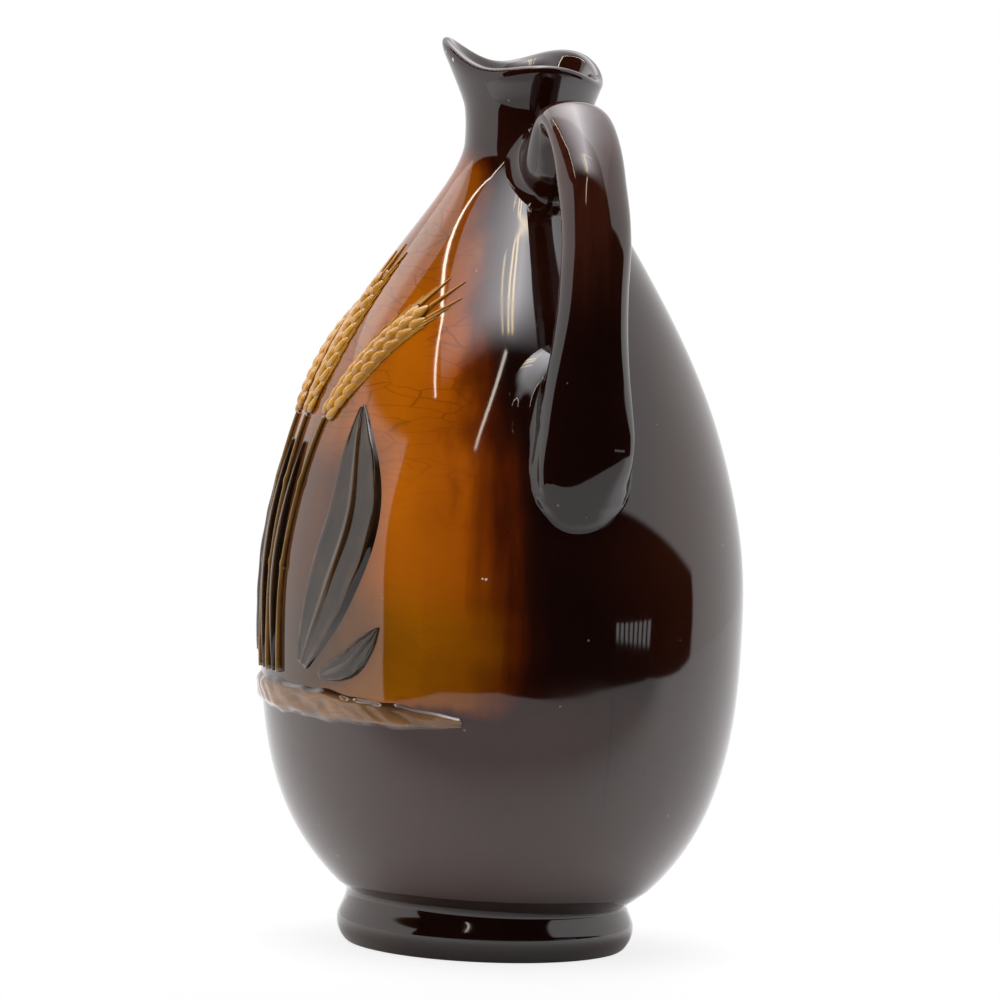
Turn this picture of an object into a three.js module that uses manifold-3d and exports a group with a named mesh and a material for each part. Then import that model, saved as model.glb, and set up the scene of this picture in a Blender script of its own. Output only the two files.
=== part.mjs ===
// Glazed stoneware pouring flask, built from the pieces that a potter lutes together before firing:
// two pressed belly halves, a base bat, a foot ring, a neck with a three-lobed mouth, a strap handle
// with a clay coil round each of its roots, and barley sprigs on the front.
// Millimetres, +Z up. The origin is under the middle of the belly, on the surface that the foot stands on.
// +X points to the handle, and -Y to the decorated front.
import * as THREE from 'three';
import { mergeVertices } from 'three/addons/utils/BufferGeometryUtils.js';
import Module from 'manifold-3d';

const wasm = await Module();
wasm.setup();

// Joints and walls
const slipGap = 0.3; // the film of slip between two luted pieces
const wall = 5; // belly and neck wall, square to the surface
const rimThickness = 3.2; // wall at the mouth's edge

// Foot ring and base bat
const footHeight = 11.7;
const footRollRadius = 36.3; // widest part of the foot
const footRollHeight = 4.6;
const footWaistRadius = 34.7; // groove under the belly
const footRestOuter = 34.2; // flat ring that meets the table
const footRestInner = 30;
const footBore = 25.6;
const baseThickness = 6;
const baseRecess = 4.5; // how far the bat sits above the table

// Belly outline
const bellyFootRadius = 35.2;
const bellyRadius = 59.4;
const bellyRise = 71.4; // from the belly's lower edge to its widest part
const lowerBulgeOut = 23.7;
const lowerBulgeUp = 19;
const lowerFullness = 22.9;
const shoulderRise = 114.5; // from the widest part to the narrowest part of the neck
const shoulderFullness = 65.8;
const neckSweep = 15.9;

// Neck and mouth
const neckRadius = 15.2;
const neckJointDrop = 8; // the neck is luted on this far below its narrowest part
const mouthRise = 14.7; // from the narrowest part to the rim's level between its lobes
const mouthRadius = 17.4;
const mouthWaist = 8; // straight stretch before the mouth flares
const lobeRise = 8.5; // the lobes start this far above the narrowest part
const mouthFlareDrop = 3.5;
const mouthFlareIn = 1.2;
// Lobes of the rim: degrees round from the handle, height above the rim's level, reach outwards, and sharpness
const spoutLobe = { turn: -115.6, rise: 9.7, reach: 3.9, sharpness: 2.9 };
const backLobe = { turn: 136, rise: 8.8, reach: 3.3, sharpness: 3.9 };
const handleLobe = { turn: -6.4, rise: 4.2, reach: 4.4, sharpness: 3.6 };

// Bow of the fired vessel's centre line, towards the back
const bowAtFoot = 0.6;
const bowAtShoulder = -0.3;
const bowAtMouth = 1.7;
const bowShoulderRise = 54; // above the widest part

// Strap handle
const upperRootDrop = 6; // middle of the upper root, below the narrowest part of the neck
const lowerRootRise = 40; // where the strap lies down on the belly, above the widest part
const tongueTipRise = 25; // end of the tongue, above the widest part
const strapReach = 2.3; // how far the strap's middle stands outside the belly at the lower root
const apexOut = 15.5;
const apexUp = 12.3;
const strapWidth = 16.4;
const strapDepth = 9.6;
const upperRootDepth = 19; // height of the flared upper root
const upperRootWidth = 14.4;
const tongueWidth = 22.4;
const tongueDepth = 9;
const tongueSink = 3; // how far the tongue's end dips into the belly's surface
const strapSquareness = 2.6; // 2 is an ellipse, more is squarer
const tongueStart = 0.86; // share of the strap's path where the tongue starts to round off
const upperCoilMargin = 2.8; // how far a root's coil spreads past the strap
const lowerCoilMargin = 4.4;
const lowerCoilRise = 26; // top of the lower coil, above where the strap lies down
const lowerCoilTail = 2; // end of the lower coil, past the tongue's tip
const coilHeight = 3.4;
const upperCoilLift = 1.2; // the upper coil sits a little above the middle of its root

// Sprigs
const leafHeight = 1.7;
const earHeight = 1.4;
const stalkHeight = 1.3;
const stalkWidth = 2;
const moundHeight = 1.6;
const moundRise = -21; // middle of the ground strip, below the widest part
const moundDepth = 9;
const moundLeft = 44; // ends of the ground strip, either side of the front's middle
const moundRight = 64;
const plantClearance = 1; // between the ground strip and what grows from it
const stalkSpread = 7;
const stalkRise = 46; // top of the stalks, above the widest part
const earClearance = 0.8;
const earLength = 33;
const earWidth = 8.4;
const earGrains = 8;
const leafWidth = 18;
const bladeWidth = 3.2;
const lowLeafWidth = 7.4;
const broadLeafRise = 66; // from foot to tip
const broadLeafReach = 13; // from foot to the furthest point sideways
const lowLeafRise = 14;
const lowLeafReach = 18;
const bladeRise = 56;

// Facets
const roundSteps = 48;
const outlineSteps = 17;
const neckSteps = 10;
const strapSteps = 22;
const tongueSteps = 6;
const strapSides = 16;
const sprigSides = 8;

// Heights worked out from the sizes above
const bellyBottomZ = footHeight + slipGap;
const bellyMidZ = bellyBottomZ + bellyRise;
const neckZ = bellyMidZ + shoulderRise;
const neckJointZ = neckZ - neckJointDrop;
const rimZ = neckZ + mouthRise;
const lobeStartZ = neckZ + lobeRise;
const upperRootZ = neckZ - upperRootDrop;
const lowerRootZ = bellyMidZ + lowerRootRise;
const tongueTipZ = bellyMidZ + tongueTipRise;
const bowShoulderZ = bellyMidZ + bowShoulderRise;

const HANDLE_SIDE = 0; // angle of the handle round the axis
const FRONT_SIDE = -Math.PI / 2; // angle of the decorated front

// Helpers

const flat = (r, z) => new THREE.Vector2(r, z);

function smooth(share) {
  const t = THREE.MathUtils.clamp(share, 0, 1);
  return t * t * (3 - 2 * t);
}

function toSolid(geometry) {
  const bare = geometry.clone();
  bare.deleteAttribute('normal');
  bare.deleteAttribute('uv');
  const merged = mergeVertices(bare, 1e-3);
  return new wasm.Manifold(new wasm.Mesh({
    numProp: 3,
    vertProperties: merged.attributes.position.array,
    triVerts: new Uint32Array(merged.index.array),
  }));
}

function toGeometry(solid) {
  const mesh = solid.getMesh();
  const geometry = new THREE.BufferGeometry();
  geometry.setAttribute('position', new THREE.BufferAttribute(mesh.vertProperties, 3));
  geometry.setIndex(new THREE.BufferAttribute(mesh.triVerts, 1));
  return geometry;
}

// A closed (radius, height) outline turned round the vertical axis
function turned(outline) {
  return new THREE.LatheGeometry([...outline, outline[0]], roundSteps).rotateX(Math.PI / 2);
}

// A closed skin over rings of equal length, with a fan at each end
function loft(rings) {
  const sides = rings[0].length;
  const points = rings.flat();
  const index = [];
  for (let i = 0; i + 1 < rings.length; i++) {
    for (let j = 0; j < sides; j++) {
      const k = (j + 1) % sides;
      const [a, b, c, d] = [i * sides + j, i * sides + k, (i + 1) * sides + j, (i + 1) * sides + k];
      index.push(a, b, d, a, d, c);
    }
  }
  for (const [ring, start, turn] of [[rings[0], 0, 1], [rings.at(-1), (rings.length - 1) * sides, 0]]) {
    const middle = points.length;
    points.push(ring.reduce((sum, p) => sum.add(p), new THREE.Vector3()).divideScalar(sides));
    for (let j = 0; j < sides; j++) {
      const pair = [start + j, start + (j + 1) % sides];
      index.push(middle, pair[turn], pair[1 - turn]);
    }
  }
  return new THREE.BufferGeometry().setFromPoints(points).setIndex(index);
}

// Outline of the vessel

const lowerOutline = new THREE.CubicBezierCurve(
  flat(bellyFootRadius, bellyBottomZ),
  flat(bellyFootRadius + lowerBulgeOut, bellyBottomZ + lowerBulgeUp),
  flat(bellyRadius, bellyMidZ - lowerFullness),
  flat(bellyRadius, bellyMidZ),
);
const upperOutline = new THREE.CubicBezierCurve(
  flat(bellyRadius, bellyMidZ),
  flat(bellyRadius, bellyMidZ + shoulderFullness),
  flat(neckRadius, neckZ - neckSweep),
  flat(neckRadius, neckZ),
);
const mouthOutline = new THREE.CubicBezierCurve(
  flat(neckRadius, neckZ),
  flat(neckRadius, neckZ + mouthWaist),
  flat(mouthRadius - mouthFlareIn, rimZ - mouthFlareDrop),
  flat(mouthRadius, rimZ),
);

// The outline's curve and the share of it at a height, found by halving
function placeOnOutline(z) {
  let curve = mouthOutline;
  if (z < bellyMidZ) curve = lowerOutline;
  else if (z < neckZ) curve = upperOutline;
  let [low, high] = [0, 1];
  for (let i = 0; i < 40; i++) {
    const half = (low + high) / 2;
    if (curve.getPoint(half).y < z) low = half;
    else high = half;
  }
  return [curve, (low + high) / 2];
}

function outlineRadius(z) {
  const [curve, share] = placeOnOutline(z);
  return curve.getPoint(share).x;
}

// Change of radius with height
function outlineSlope(z) {
  const [curve, share] = placeOnOutline(z);
  const along = curve.getTangent(share);
  return along.x / along.y;
}

function wallAt(z) {
  const share = smooth((z - neckZ) / (rimZ - neckZ));
  return THREE.MathUtils.lerp(wall, rimThickness, share);
}

function boreRadius(z) {
  return outlineRadius(z) - wallAt(z) * Math.hypot(1, outlineSlope(z));
}

function heights(low, high, steps) {
  return Array.from({ length: steps + 1 }, (_, i) => low + (high - low) * i / steps);
}

// A point on the vessel's outside, from millimetres sideways of a side's middle line, height and stand-off
function onVessel(side, sideways, z, standOff) {
  const radius = outlineRadius(z);
  const slope = outlineSlope(z);
  const lean = Math.hypot(1, slope);
  const out = radius + standOff / lean;
  const angle = side + sideways / radius;
  return new THREE.Vector3(out * Math.cos(angle), out * Math.sin(angle), z - standOff * slope / lean);
}

// The fired vessel's centre line bows between the foot, the shoulder and the mouth
function centreShift(z) {
  if (z < bowShoulderZ) {
    const share = smooth((z - bellyBottomZ) / (bowShoulderZ - bellyBottomZ));
    return THREE.MathUtils.lerp(bowAtFoot, bowAtShoulder, share);
  }
  const share = smooth((z - bowShoulderZ) / (rimZ - bowShoulderZ));
  return THREE.MathUtils.lerp(bowAtShoulder, bowAtMouth, share);
}

function bowed(geometry) {
  const places = geometry.getAttribute('position');
  for (let i = 0; i < places.count; i++) places.setY(i, places.getY(i) + centreShift(places.getZ(i)));
  return geometry;
}

// Vessel pieces

function footRing() {
  const roll = new THREE.SplineCurve([
    flat(footRestOuter, 0),
    flat(footRollRadius, footRollHeight),
    flat(footWaistRadius, footHeight),
  ]);
  return turned([...roll.getPoints(6), flat(footBore, footHeight), flat(footBore, baseRecess), flat(footRestInner, 0)]);
}

function baseBat() {
  const radius = footBore - slipGap;
  const top = baseRecess + baseThickness;
  return turned([flat(0, baseRecess), flat(radius, baseRecess), flat(radius, top), flat(0, top)]);
}

function bellyShell() {
  const outside = heights(bellyBottomZ, neckJointZ, outlineSteps).map((z) => flat(outlineRadius(z), z));
  const inside = heights(neckJointZ, bellyBottomZ, outlineSteps).map((z) => flat(boreRadius(z), z));
  return toSolid(turned([...outside, ...inside]));
}

// The half of the belly on one side of the mould seam, which runs through the handle
function bellyHalf(shell, side) {
  const reach = 4 * bellyRadius;
  const keep = new THREE.BoxGeometry(reach, reach, 2 * neckZ);
  keep.translate(0, side * (reach + slipGap) / 2, neckZ);
  return toGeometry(shell.intersect(toSolid(keep)));
}

// How much of a lobe is felt at an angle round the rim
function lobeSwell(lobe, angle) {
  return Math.exp(lobe.sharpness * (Math.cos(angle - THREE.MathUtils.degToRad(lobe.turn)) - 1));
}

// The rim rises in three lobes, and the lift fades out down the neck
function shapeMouth(geometry) {
  const places = geometry.getAttribute('position');
  for (let i = 0; i < places.count; i++) {
    const [x, y, z] = [places.getX(i), places.getY(i), places.getZ(i)];
    const angle = Math.atan2(y, x);
    const share = smooth((z - lobeStartZ) / (rimZ - lobeStartZ));
    let [reach, lift] = [0, 0];
    for (const lobe of [spoutLobe, backLobe, handleLobe]) {
      const swell = share * lobeSwell(lobe, angle);
      reach += lobe.reach * swell;
      lift += lobe.rise * swell;
    }
    const widen = 1 + reach / Math.hypot(x, y);
    places.setXYZ(i, x * widen, y * widen, z + lift);
  }
  return geometry;
}

function neckAndMouth() {
  const bottom = neckJointZ + slipGap;
  const rimRound = rimThickness / 2;
  const top = rimZ - rimRound;
  const outside = heights(bottom, top, neckSteps).map((z) => flat(outlineRadius(z), z));
  const inside = heights(top, bottom, neckSteps).map((z) => flat(boreRadius(z), z));
  const edge = (outlineRadius(top) + boreRadius(top)) / 2;
  return shapeMouth(turned([...outside, flat(edge + rimRound / 2, rimZ), flat(edge - rimRound / 2, rimZ), ...inside]));
}

// The vessel as a filled body, grown by the luting gap, for cutting what is luted on
function vesselCore() {
  const outside = heights(bellyBottomZ, neckJointZ, outlineSteps).map((z) => flat(outlineRadius(z) + slipGap, z));
  const neck = heights(neckJointZ, rimZ, neckSteps).slice(1).map((z) => flat(outlineRadius(z) + slipGap, z));
  return toSolid(turned([flat(0, bellyBottomZ), ...outside, ...neck, flat(0, rimZ)]));
}

// Handle

const rootRadius = outlineRadius(upperRootZ);
const strapMiddle = outlineRadius(lowerRootZ) + strapReach;
const strapRun = upperRootZ - lowerRootZ;
const strapPath = new THREE.CatmullRomCurve3([
  new THREE.Vector3(rootRadius - wall, 0, upperRootZ),
  new THREE.Vector3(rootRadius + apexOut * 0.28, 0, upperRootZ + apexUp * 0.22),
  new THREE.Vector3(rootRadius + apexOut, 0, upperRootZ + apexUp),
  new THREE.Vector3((rootRadius + apexOut + strapMiddle) / 2 + 1, 0, upperRootZ + apexUp * 0.45),
  new THREE.Vector3(strapMiddle - 2.2, 0, upperRootZ - strapRun * 0.13),
  new THREE.Vector3(strapMiddle, 0, upperRootZ - strapRun * 0.42),
  new THREE.Vector3(strapMiddle, 0, lowerRootZ + strapRun * 0.3),
  new THREE.Vector3(outlineRadius(lowerRootZ) + strapReach, 0, lowerRootZ),
  new THREE.Vector3(outlineRadius(tongueTipZ) - tongueSink, 0, tongueTipZ),
]);

// Width and depth of the strap along its path, as soft steps between the root, the strap and the tongue
function strapSection(share) {
  const flare = 1 - smooth(share / 0.2);
  const spread = smooth((share - 0.45) / 0.3);
  const nearEnd = THREE.MathUtils.clamp((share - tongueStart) / (1 - tongueStart), 0, 1);
  const roundEnd = Math.sqrt(Math.max(1 - nearEnd * nearEnd, 0.01));
  const width = strapWidth + flare * (upperRootWidth - strapWidth) + spread * (tongueWidth - strapWidth);
  const depth = strapDepth + flare * (upperRootDepth - strapDepth) + spread * (tongueDepth - strapDepth);
  return [width * roundEnd, depth * Math.max(roundEnd, 0.55)];
}

// Even steps along the strap, then closer ones round the tongue's end
function strapShares() {
  const straight = heights(0, tongueStart, strapSteps);
  const round = heights(0, Math.PI / 2, tongueSteps).slice(1).map((turn) => Math.sin(turn));
  return [...straight, ...round.map((reach) => tongueStart + (1 - tongueStart) * reach)];
}

function strap(grow) {
  const rings = [];
  for (const share of strapShares()) {
    const middle = strapPath.getPointAt(share);
    const along = strapPath.getTangentAt(share);
    const outward = new THREE.Vector3(-along.z, 0, along.x);
    const [width, depth] = strapSection(share);
    rings.push(Array.from({ length: strapSides }, (_, j) => {
      const turn = 2 * Math.PI * j / strapSides;
      const [across, deep] = [Math.cos(turn), Math.sin(turn)].map(
        (v) => Math.sign(v) * Math.abs(v) ** (2 / strapSquareness),
      );
      const place = middle.clone().addScaledVector(outward, deep * (depth / 2 + grow));
      place.y += across * (width / 2 + grow);
      return place;
    }));
  }
  return toSolid(loft(rings));
}

// A low mound of clay on the vessel, highest in the middle and thin at its edge
function clayMound(side, z, halfWidth, halfHeight, height) {
  const geometry = new THREE.SphereGeometry(1, 24, 16);
  const places = geometry.getAttribute('position');
  for (let i = 0; i < places.count; i++) {
    const [across, up, out] = [places.getX(i), places.getY(i), places.getZ(i)];
    const swell = out > 0 ? height * (1 - across * across - up * up) : 0;
    const place = onVessel(side, halfWidth * across, z + halfHeight * up, slipGap + Math.max(swell, 0));
    places.setXYZ(i, place.x, place.y, place.z);
  }
  return toSolid(geometry);
}

// Sprigs

// A low ridge along a line on the front, with a D-shaped section; size gives half width and height along it
function ridge(line, size, steps) {
  const rings = [];
  for (let i = 0; i <= steps; i++) {
    const share = i / steps;
    const middle = line.getPoint(share);
    const along = line.getTangent(share);
    const [halfWidth, height] = size(share);
    rings.push(Array.from({ length: sprigSides }, (_, j) => {
      const turn = 2 * Math.PI * j / sprigSides;
      const across = halfWidth * Math.cos(turn);
      const standOff = slipGap + height * Math.max(Math.sin(turn), 0);
      return onVessel(FRONT_SIDE, middle.x - across * along.y, middle.y + across * along.x, standOff);
    }));
  }
  return loft(rings);
}

// Half width and height of a leaf: pointed at its tip, narrow at its foot
function leafSize(width, height) {
  return (share) => {
    const swell = Math.sin(Math.PI * Math.min(0.06 + 0.93 * share, 0.99)) ** 0.8;
    return [width / 2 * swell, height * (0.35 + 0.65 * swell)];
  };
}

// Half width and height of an ear: a spindle with a bulge for each grain
function earSize(share) {
  const spindle = Math.sin(Math.PI * (0.08 + 0.88 * share)) ** 0.6;
  const grain = 1 - 0.14 * Math.cos(2 * Math.PI * earGrains * share);
  return [earWidth / 2 * spindle * grain, earHeight * spindle * grain];
}

function stalkSize(share) {
  const taper = 1 - 0.25 * share;
  return [stalkWidth / 2 * taper, stalkHeight * taper];
}

function moundSize(share) {
  const swell = Math.sin(Math.PI * (0.03 + 0.94 * share)) ** 0.45;
  return [moundDepth / 2 * swell, moundHeight * swell];
}

const moundZ = bellyMidZ + moundRise;
const plantZ = moundZ + moundDepth / 2 + plantClearance;
const stalkTopZ = bellyMidZ + stalkRise;
const earFootZ = stalkTopZ + earClearance;

function lineThrough(...places) {
  return new THREE.SplineCurve(places.map(([sideways, z]) => flat(sideways, z)));
}

function ground() {
  const line = lineThrough([-moundLeft, moundZ - 1], [0, moundZ], [moundRight, moundZ - 2]);
  return ridge(line, moundSize, 26);
}

// A stalk and its ear: hand is -1 for the left of the plant, 0 for the middle and 1 for the right
function stalk(hand) {
  const foot = hand * stalkSpread;
  const line = lineThrough([foot, plantZ], [foot * 1.15, (plantZ + stalkTopZ) / 2], [foot * 1.55, stalkTopZ]);
  return ridge(line, stalkSize, 14);
}

function ear(hand) {
  const foot = hand * stalkSpread * 1.6;
  const bend = hand * 0.45 * earLength;
  const top = earFootZ + earLength * (hand ? 0.86 : 1.08);
  const line = lineThrough([foot, earFootZ], [foot + bend * 0.42, (earFootZ + top) / 2], [foot + bend, top]);
  return ridge(line, earSize, 3 * earGrains);
}

// Three leaves on one side of the plant: a broad one, a low one and an upright blade
function broadLeaf(hand) {
  const foot = stalkSpread * 1.25 + stalkWidth + bladeWidth + leafWidth * 0.25;
  const line = lineThrough(
    [hand * foot, plantZ + broadLeafRise * 0.045],
    [hand * (foot + broadLeafReach * 0.69), plantZ + broadLeafRise * 0.33],
    [hand * (foot + broadLeafReach), plantZ + broadLeafRise * 0.64],
    [hand * (foot + broadLeafReach * 0.38), plantZ + broadLeafRise],
  );
  return ridge(line, leafSize(leafWidth, leafHeight), 18);
}

function lowLeaf(hand) {
  const foot = stalkSpread * 1.25 + stalkWidth + bladeWidth + leafWidth * 0.25 + lowLeafWidth * 0.9;
  const line = lineThrough(
    [hand * foot, plantZ + lowLeafRise * 0.07],
    [hand * (foot + lowLeafReach * 0.56), plantZ + lowLeafRise * 0.36],
    [hand * (foot + lowLeafReach), plantZ + lowLeafRise],
  );
  return ridge(line, leafSize(lowLeafWidth, leafHeight), 10);
}

function blade(hand) {
  const foot = hand * (stalkSpread / 2 + stalkWidth * 0.1);
  const line = lineThrough([foot, plantZ], [foot * 1.05, plantZ + bladeRise * 0.46], [foot * 1.3, plantZ + bladeRise]);
  return ridge(line, leafSize(bladeWidth, leafHeight), 13);
}

// Materials: treacle-brown and amber glaze over the clay, with slip colours under it

function glaze(colour) {
  return new THREE.MeshStandardMaterial({ color: colour, roughness: 0.12, metalness: 0 });
}

const brownGlaze = glaze(0x2a120b);
const amberGlaze = glaze(0x96510a);
const ochreSlip = glaze(0xb07c22);
const leafSlip = glaze(0x33201a);
const groundSlip = glaze(0x6f4a2e);
const bareClay = new THREE.MeshStandardMaterial({ color: 0x4a3022, roughness: 0.7, metalness: 0 });

// Assembly

function piece(parent, name, geometry, material) {
  const mesh = new THREE.Mesh(geometry, material);
  mesh.name = name;
  parent.add(mesh);
}

const flask = new THREE.Group();

const foot = new THREE.Group();
piece(foot, 'foot_ring', footRing(), brownGlaze);
piece(foot, 'base_bat', baseBat(), bareClay);
flask.add(foot);

const shell = bellyShell();
piece(flask, 'belly_front_half', bowed(bellyHalf(shell, -1)), amberGlaze);
piece(flask, 'belly_back_half', bowed(bellyHalf(shell, 1)), brownGlaze);
piece(flask, 'neck_and_mouth', bowed(neckAndMouth()), brownGlaze);

const core = vesselCore();
const grownStrap = strap(slipGap);
const upperCoil = clayMound(
  HANDLE_SIDE,
  upperRootZ + upperCoilLift,
  upperRootWidth / 2 + upperCoilMargin,
  upperRootDepth / 2 + upperCoilMargin,
  coilHeight,
);
const lowerCoilTopZ = lowerRootZ + lowerCoilRise;
const lowerCoilEndZ = tongueTipZ - lowerCoilTail;
const lowerCoil = clayMound(
  HANDLE_SIDE,
  (lowerCoilTopZ + lowerCoilEndZ) / 2,
  tongueWidth / 2 + lowerCoilMargin,
  (lowerCoilTopZ - lowerCoilEndZ) / 2,
  coilHeight,
);
piece(flask, 'handle_strap', bowed(toGeometry(strap(0).subtract(core))), brownGlaze);
piece(flask, 'upper_root_coil', bowed(toGeometry(upperCoil.subtract(grownStrap))), brownGlaze);
piece(flask, 'lower_root_coil', bowed(toGeometry(lowerCoil.subtract(grownStrap))), brownGlaze);

piece(flask, 'ground_sprig', bowed(ground()), groundSlip);
for (const [side, hand] of [['left', -1], ['middle', 0], ['right', 1]]) {
  piece(flask, `stalk_${side}`, bowed(stalk(hand)), leafSlip);
  piece(flask, `ear_${side}`, bowed(ear(hand)), ochreSlip);
  if (hand) {
    piece(flask, `broad_leaf_${side}`, bowed(broadLeaf(hand)), leafSlip);
    piece(flask, `low_leaf_${side}`, bowed(lowLeaf(hand)), leafSlip);
    piece(flask, `blade_${side}`, bowed(blade(hand)), leafSlip);
  }
}

export default flask;
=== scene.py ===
# %% [markdown]
# # A treacle-glazed stoneware flask
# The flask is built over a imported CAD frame. The frame holds the clay pieces at their real sizes, in metres,
# with +Z up, +X towards the handle and -Y towards the decorated front. Each Blender piece below stands for
# one or more of those clay pieces, in the same place, with the soft edges and the glaze that firing gives.

# %% Load the frame
import math

import bpy
import numpy as np
from mathutils import Matrix


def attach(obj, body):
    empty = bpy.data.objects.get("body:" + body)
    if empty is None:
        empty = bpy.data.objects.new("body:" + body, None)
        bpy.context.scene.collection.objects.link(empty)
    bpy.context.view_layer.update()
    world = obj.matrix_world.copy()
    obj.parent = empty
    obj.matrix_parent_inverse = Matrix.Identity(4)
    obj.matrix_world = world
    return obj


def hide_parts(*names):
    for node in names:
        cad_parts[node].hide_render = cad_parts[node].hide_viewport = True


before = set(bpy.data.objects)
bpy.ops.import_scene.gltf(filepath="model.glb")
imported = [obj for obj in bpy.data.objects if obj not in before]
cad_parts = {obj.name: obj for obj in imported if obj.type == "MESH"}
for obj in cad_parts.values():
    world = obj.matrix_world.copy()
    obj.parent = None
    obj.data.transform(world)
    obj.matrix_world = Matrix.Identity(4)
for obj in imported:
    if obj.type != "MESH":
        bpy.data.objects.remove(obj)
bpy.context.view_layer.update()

# %% [markdown]
# ## The outline
# A pot is a turned form, so one outline rules it: radius against height. Two Bezier curves give the belly and
# the shoulder, and a third the flare of the mouth. Sampling them once into a table lets every later piece ask
# for the radius at a height, so the handle and the relief sit on exactly the surface that is seen.

# %% Outline of the vessel, in millimetres
MM = 0.001
FOOT_TOP, BELLY_BOTTOM, BELLY_MIDDLE = 11.7, 12.0, 83.4
BOW_SHOULDER, NECK, LOBE_START, RIM = 137.4, 197.9, 206.4, 212.6
FOOT_RADIUS, BELLY_RADIUS, NECK_RADIUS, RIM_RADIUS = 35.2, 59.4, 15.2, 17.4
WALL, RIM_WALL = 5.0, 3.2


def bezier(a, b, c, d, steps=240):
    t = np.linspace(0, 1, steps)[:, None]
    a, b, c, d = (np.array(p, float) for p in (a, b, c, d))
    return (1 - t) ** 3 * a + 3 * (1 - t) ** 2 * t * b + 3 * (1 - t) * t * t * c + t ** 3 * d


OUTLINE = np.vstack([
    bezier((FOOT_RADIUS, BELLY_BOTTOM), (58.9, 31.0), (BELLY_RADIUS, 60.5), (BELLY_RADIUS, BELLY_MIDDLE)),
    bezier((BELLY_RADIUS, BELLY_MIDDLE), (BELLY_RADIUS, 149.2), (NECK_RADIUS, 182.0), (NECK_RADIUS, NECK))[1:],
    bezier((NECK_RADIUS, NECK), (NECK_RADIUS, NECK + 8.0), (16.2, RIM - 3.5), (RIM_RADIUS, RIM))[1:],
])


def outline_radius(z):
    return np.interp(z, OUTLINE[:, 1], OUTLINE[:, 0])


def outline_slope(z, step=0.25):
    return (outline_radius(z + step) - outline_radius(z - step)) / (2 * step)


def smooth(share):
    t = np.clip(share, 0, 1)
    return t * t * (3 - 2 * t)


def eased(value, start, run):
    """A soft step: 0 before the start, 1 after the run."""
    return smooth((value - start) / run)


print("belly radius %.1f mm, neck radius %.1f mm" % (outline_radius(BELLY_MIDDLE), outline_radius(NECK)))

# %% [markdown]
# ## The hand in the clay
# A pressed pot is never perfectly straight or round. Its middle bows a millimetre or two towards the front and
# back. A few slow waves of a tenth of a millimetre are far too small to see as shape, but a gloss glaze mirrors
# the room, and the waves make those reflections wander as real ones do.

# %% Bow and waves of the wall, and points on the outside
FOOT_SHIFT = -0.9
LOW_SHIFT, LOW_SWING = 0.6, -0.9
HIGH_SHIFT, HIGH_SWING = -0.3, 2.0
# How many waves go round, how fast they climb, where they start and how strong they are
WAVES = [(3, 0.045, 0.0, 1.0), (5, -0.06, 1.0, 0.8), (2, 0.11, 2.0, 0.7), (9, 0.16, 0.0, 0.35)]
WAVE = 0.1
HANDLE_SIDE, FRONT_SIDE = 0.0, -math.pi / 2


def centre_shift(z):
    """How far the pot's middle lies towards the back at a height."""
    low = LOW_SHIFT + LOW_SWING * eased(z, BELLY_BOTTOM, BOW_SHOULDER - BELLY_BOTTOM)
    high = HIGH_SHIFT + HIGH_SWING * eased(z, BOW_SHOULDER, RIM - BOW_SHOULDER)
    above_foot = eased(z, FOOT_TOP - 1.0, 3.0)
    return np.where(z < BOW_SHOULDER, low, high) * above_foot + FOOT_SHIFT * (1 - above_foot)


def wall_wave(angle, z):
    fade = eased(z, 14, 12) * (1 - eased(z, 196, 10))
    waves = sum(strength * np.sin(count * angle + climb * z + start) for count, climb, start, strength in WAVES)
    return WAVE * fade * waves


def on_vessel(side, sideways, z, stand_off):
    """Points on the outside: millimetres sideways of a side's middle line, height, and distance off it."""
    radius = outline_radius(z)
    slope = outline_slope(z)
    lean = np.hypot(1, slope)
    angle = side + sideways / radius
    out = radius + wall_wave(angle, z) + stand_off / lean
    height = z - stand_off * slope / lean
    return np.stack([out * np.cos(angle), out * np.sin(angle) + centre_shift(height), height], -1)


def outward_on_vessel(side, sideways, z):
    angle = side + sideways / outline_radius(z)
    normal = np.stack([np.cos(angle), np.sin(angle), -outline_slope(z)], -1)
    return normal / np.linalg.norm(normal, axis=-1, keepdims=True)


print("front point at mid height:", on_vessel(FRONT_SIDE, 0.0, BELLY_MIDDLE, 0.0).round(2))

# %% [markdown]
# ## Meshes from rings
# Most pieces here are skins over a row of rings, so one helper makes them: quads between the rings and a fan
# over each end. It takes millimetres and writes metres, and the object stays at the origin, so a pattern on
# Object coordinates is the same on every piece.

# %% Skin over rings
def in_scene(name, data):
    piece = bpy.data.objects.new(name, data)
    bpy.context.scene.collection.objects.link(piece)
    return piece


def new_piece(name, points, faces):
    mesh = bpy.data.meshes.new(name)
    mesh.from_pydata((np.asarray(points) * MM).tolist(), [], faces)
    mesh.validate()
    mesh.shade_smooth()
    return in_scene(name, mesh)


def ring_faces(rings, sides, first_pole, last_pole):
    faces = []
    for i in range(rings - 1):
        for j in range(sides):
            k = (j + 1) % sides
            faces.append((i * sides + j, i * sides + k, (i + 1) * sides + k, (i + 1) * sides + j))
    last = (rings - 1) * sides
    for j in range(sides):
        k = (j + 1) % sides
        faces.append((first_pole, k, j))
        faces.append((last_pole, last + j, last + k))
    return faces


def skin(name, rings):
    rings = np.asarray(rings)
    count, sides = rings.shape[:2]
    points = np.vstack([rings.reshape(-1, 3), rings[0].mean(0), rings[-1].mean(0)])
    return new_piece(name, points, ring_faces(count, sides, count * sides, count * sides + 1))


def join(pieces):
    with bpy.context.temp_override(active_object=pieces[0], selected_editable_objects=pieces, object=pieces[0]):
        bpy.ops.object.join()
    return pieces[0]


print("skin helper ready")

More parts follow.
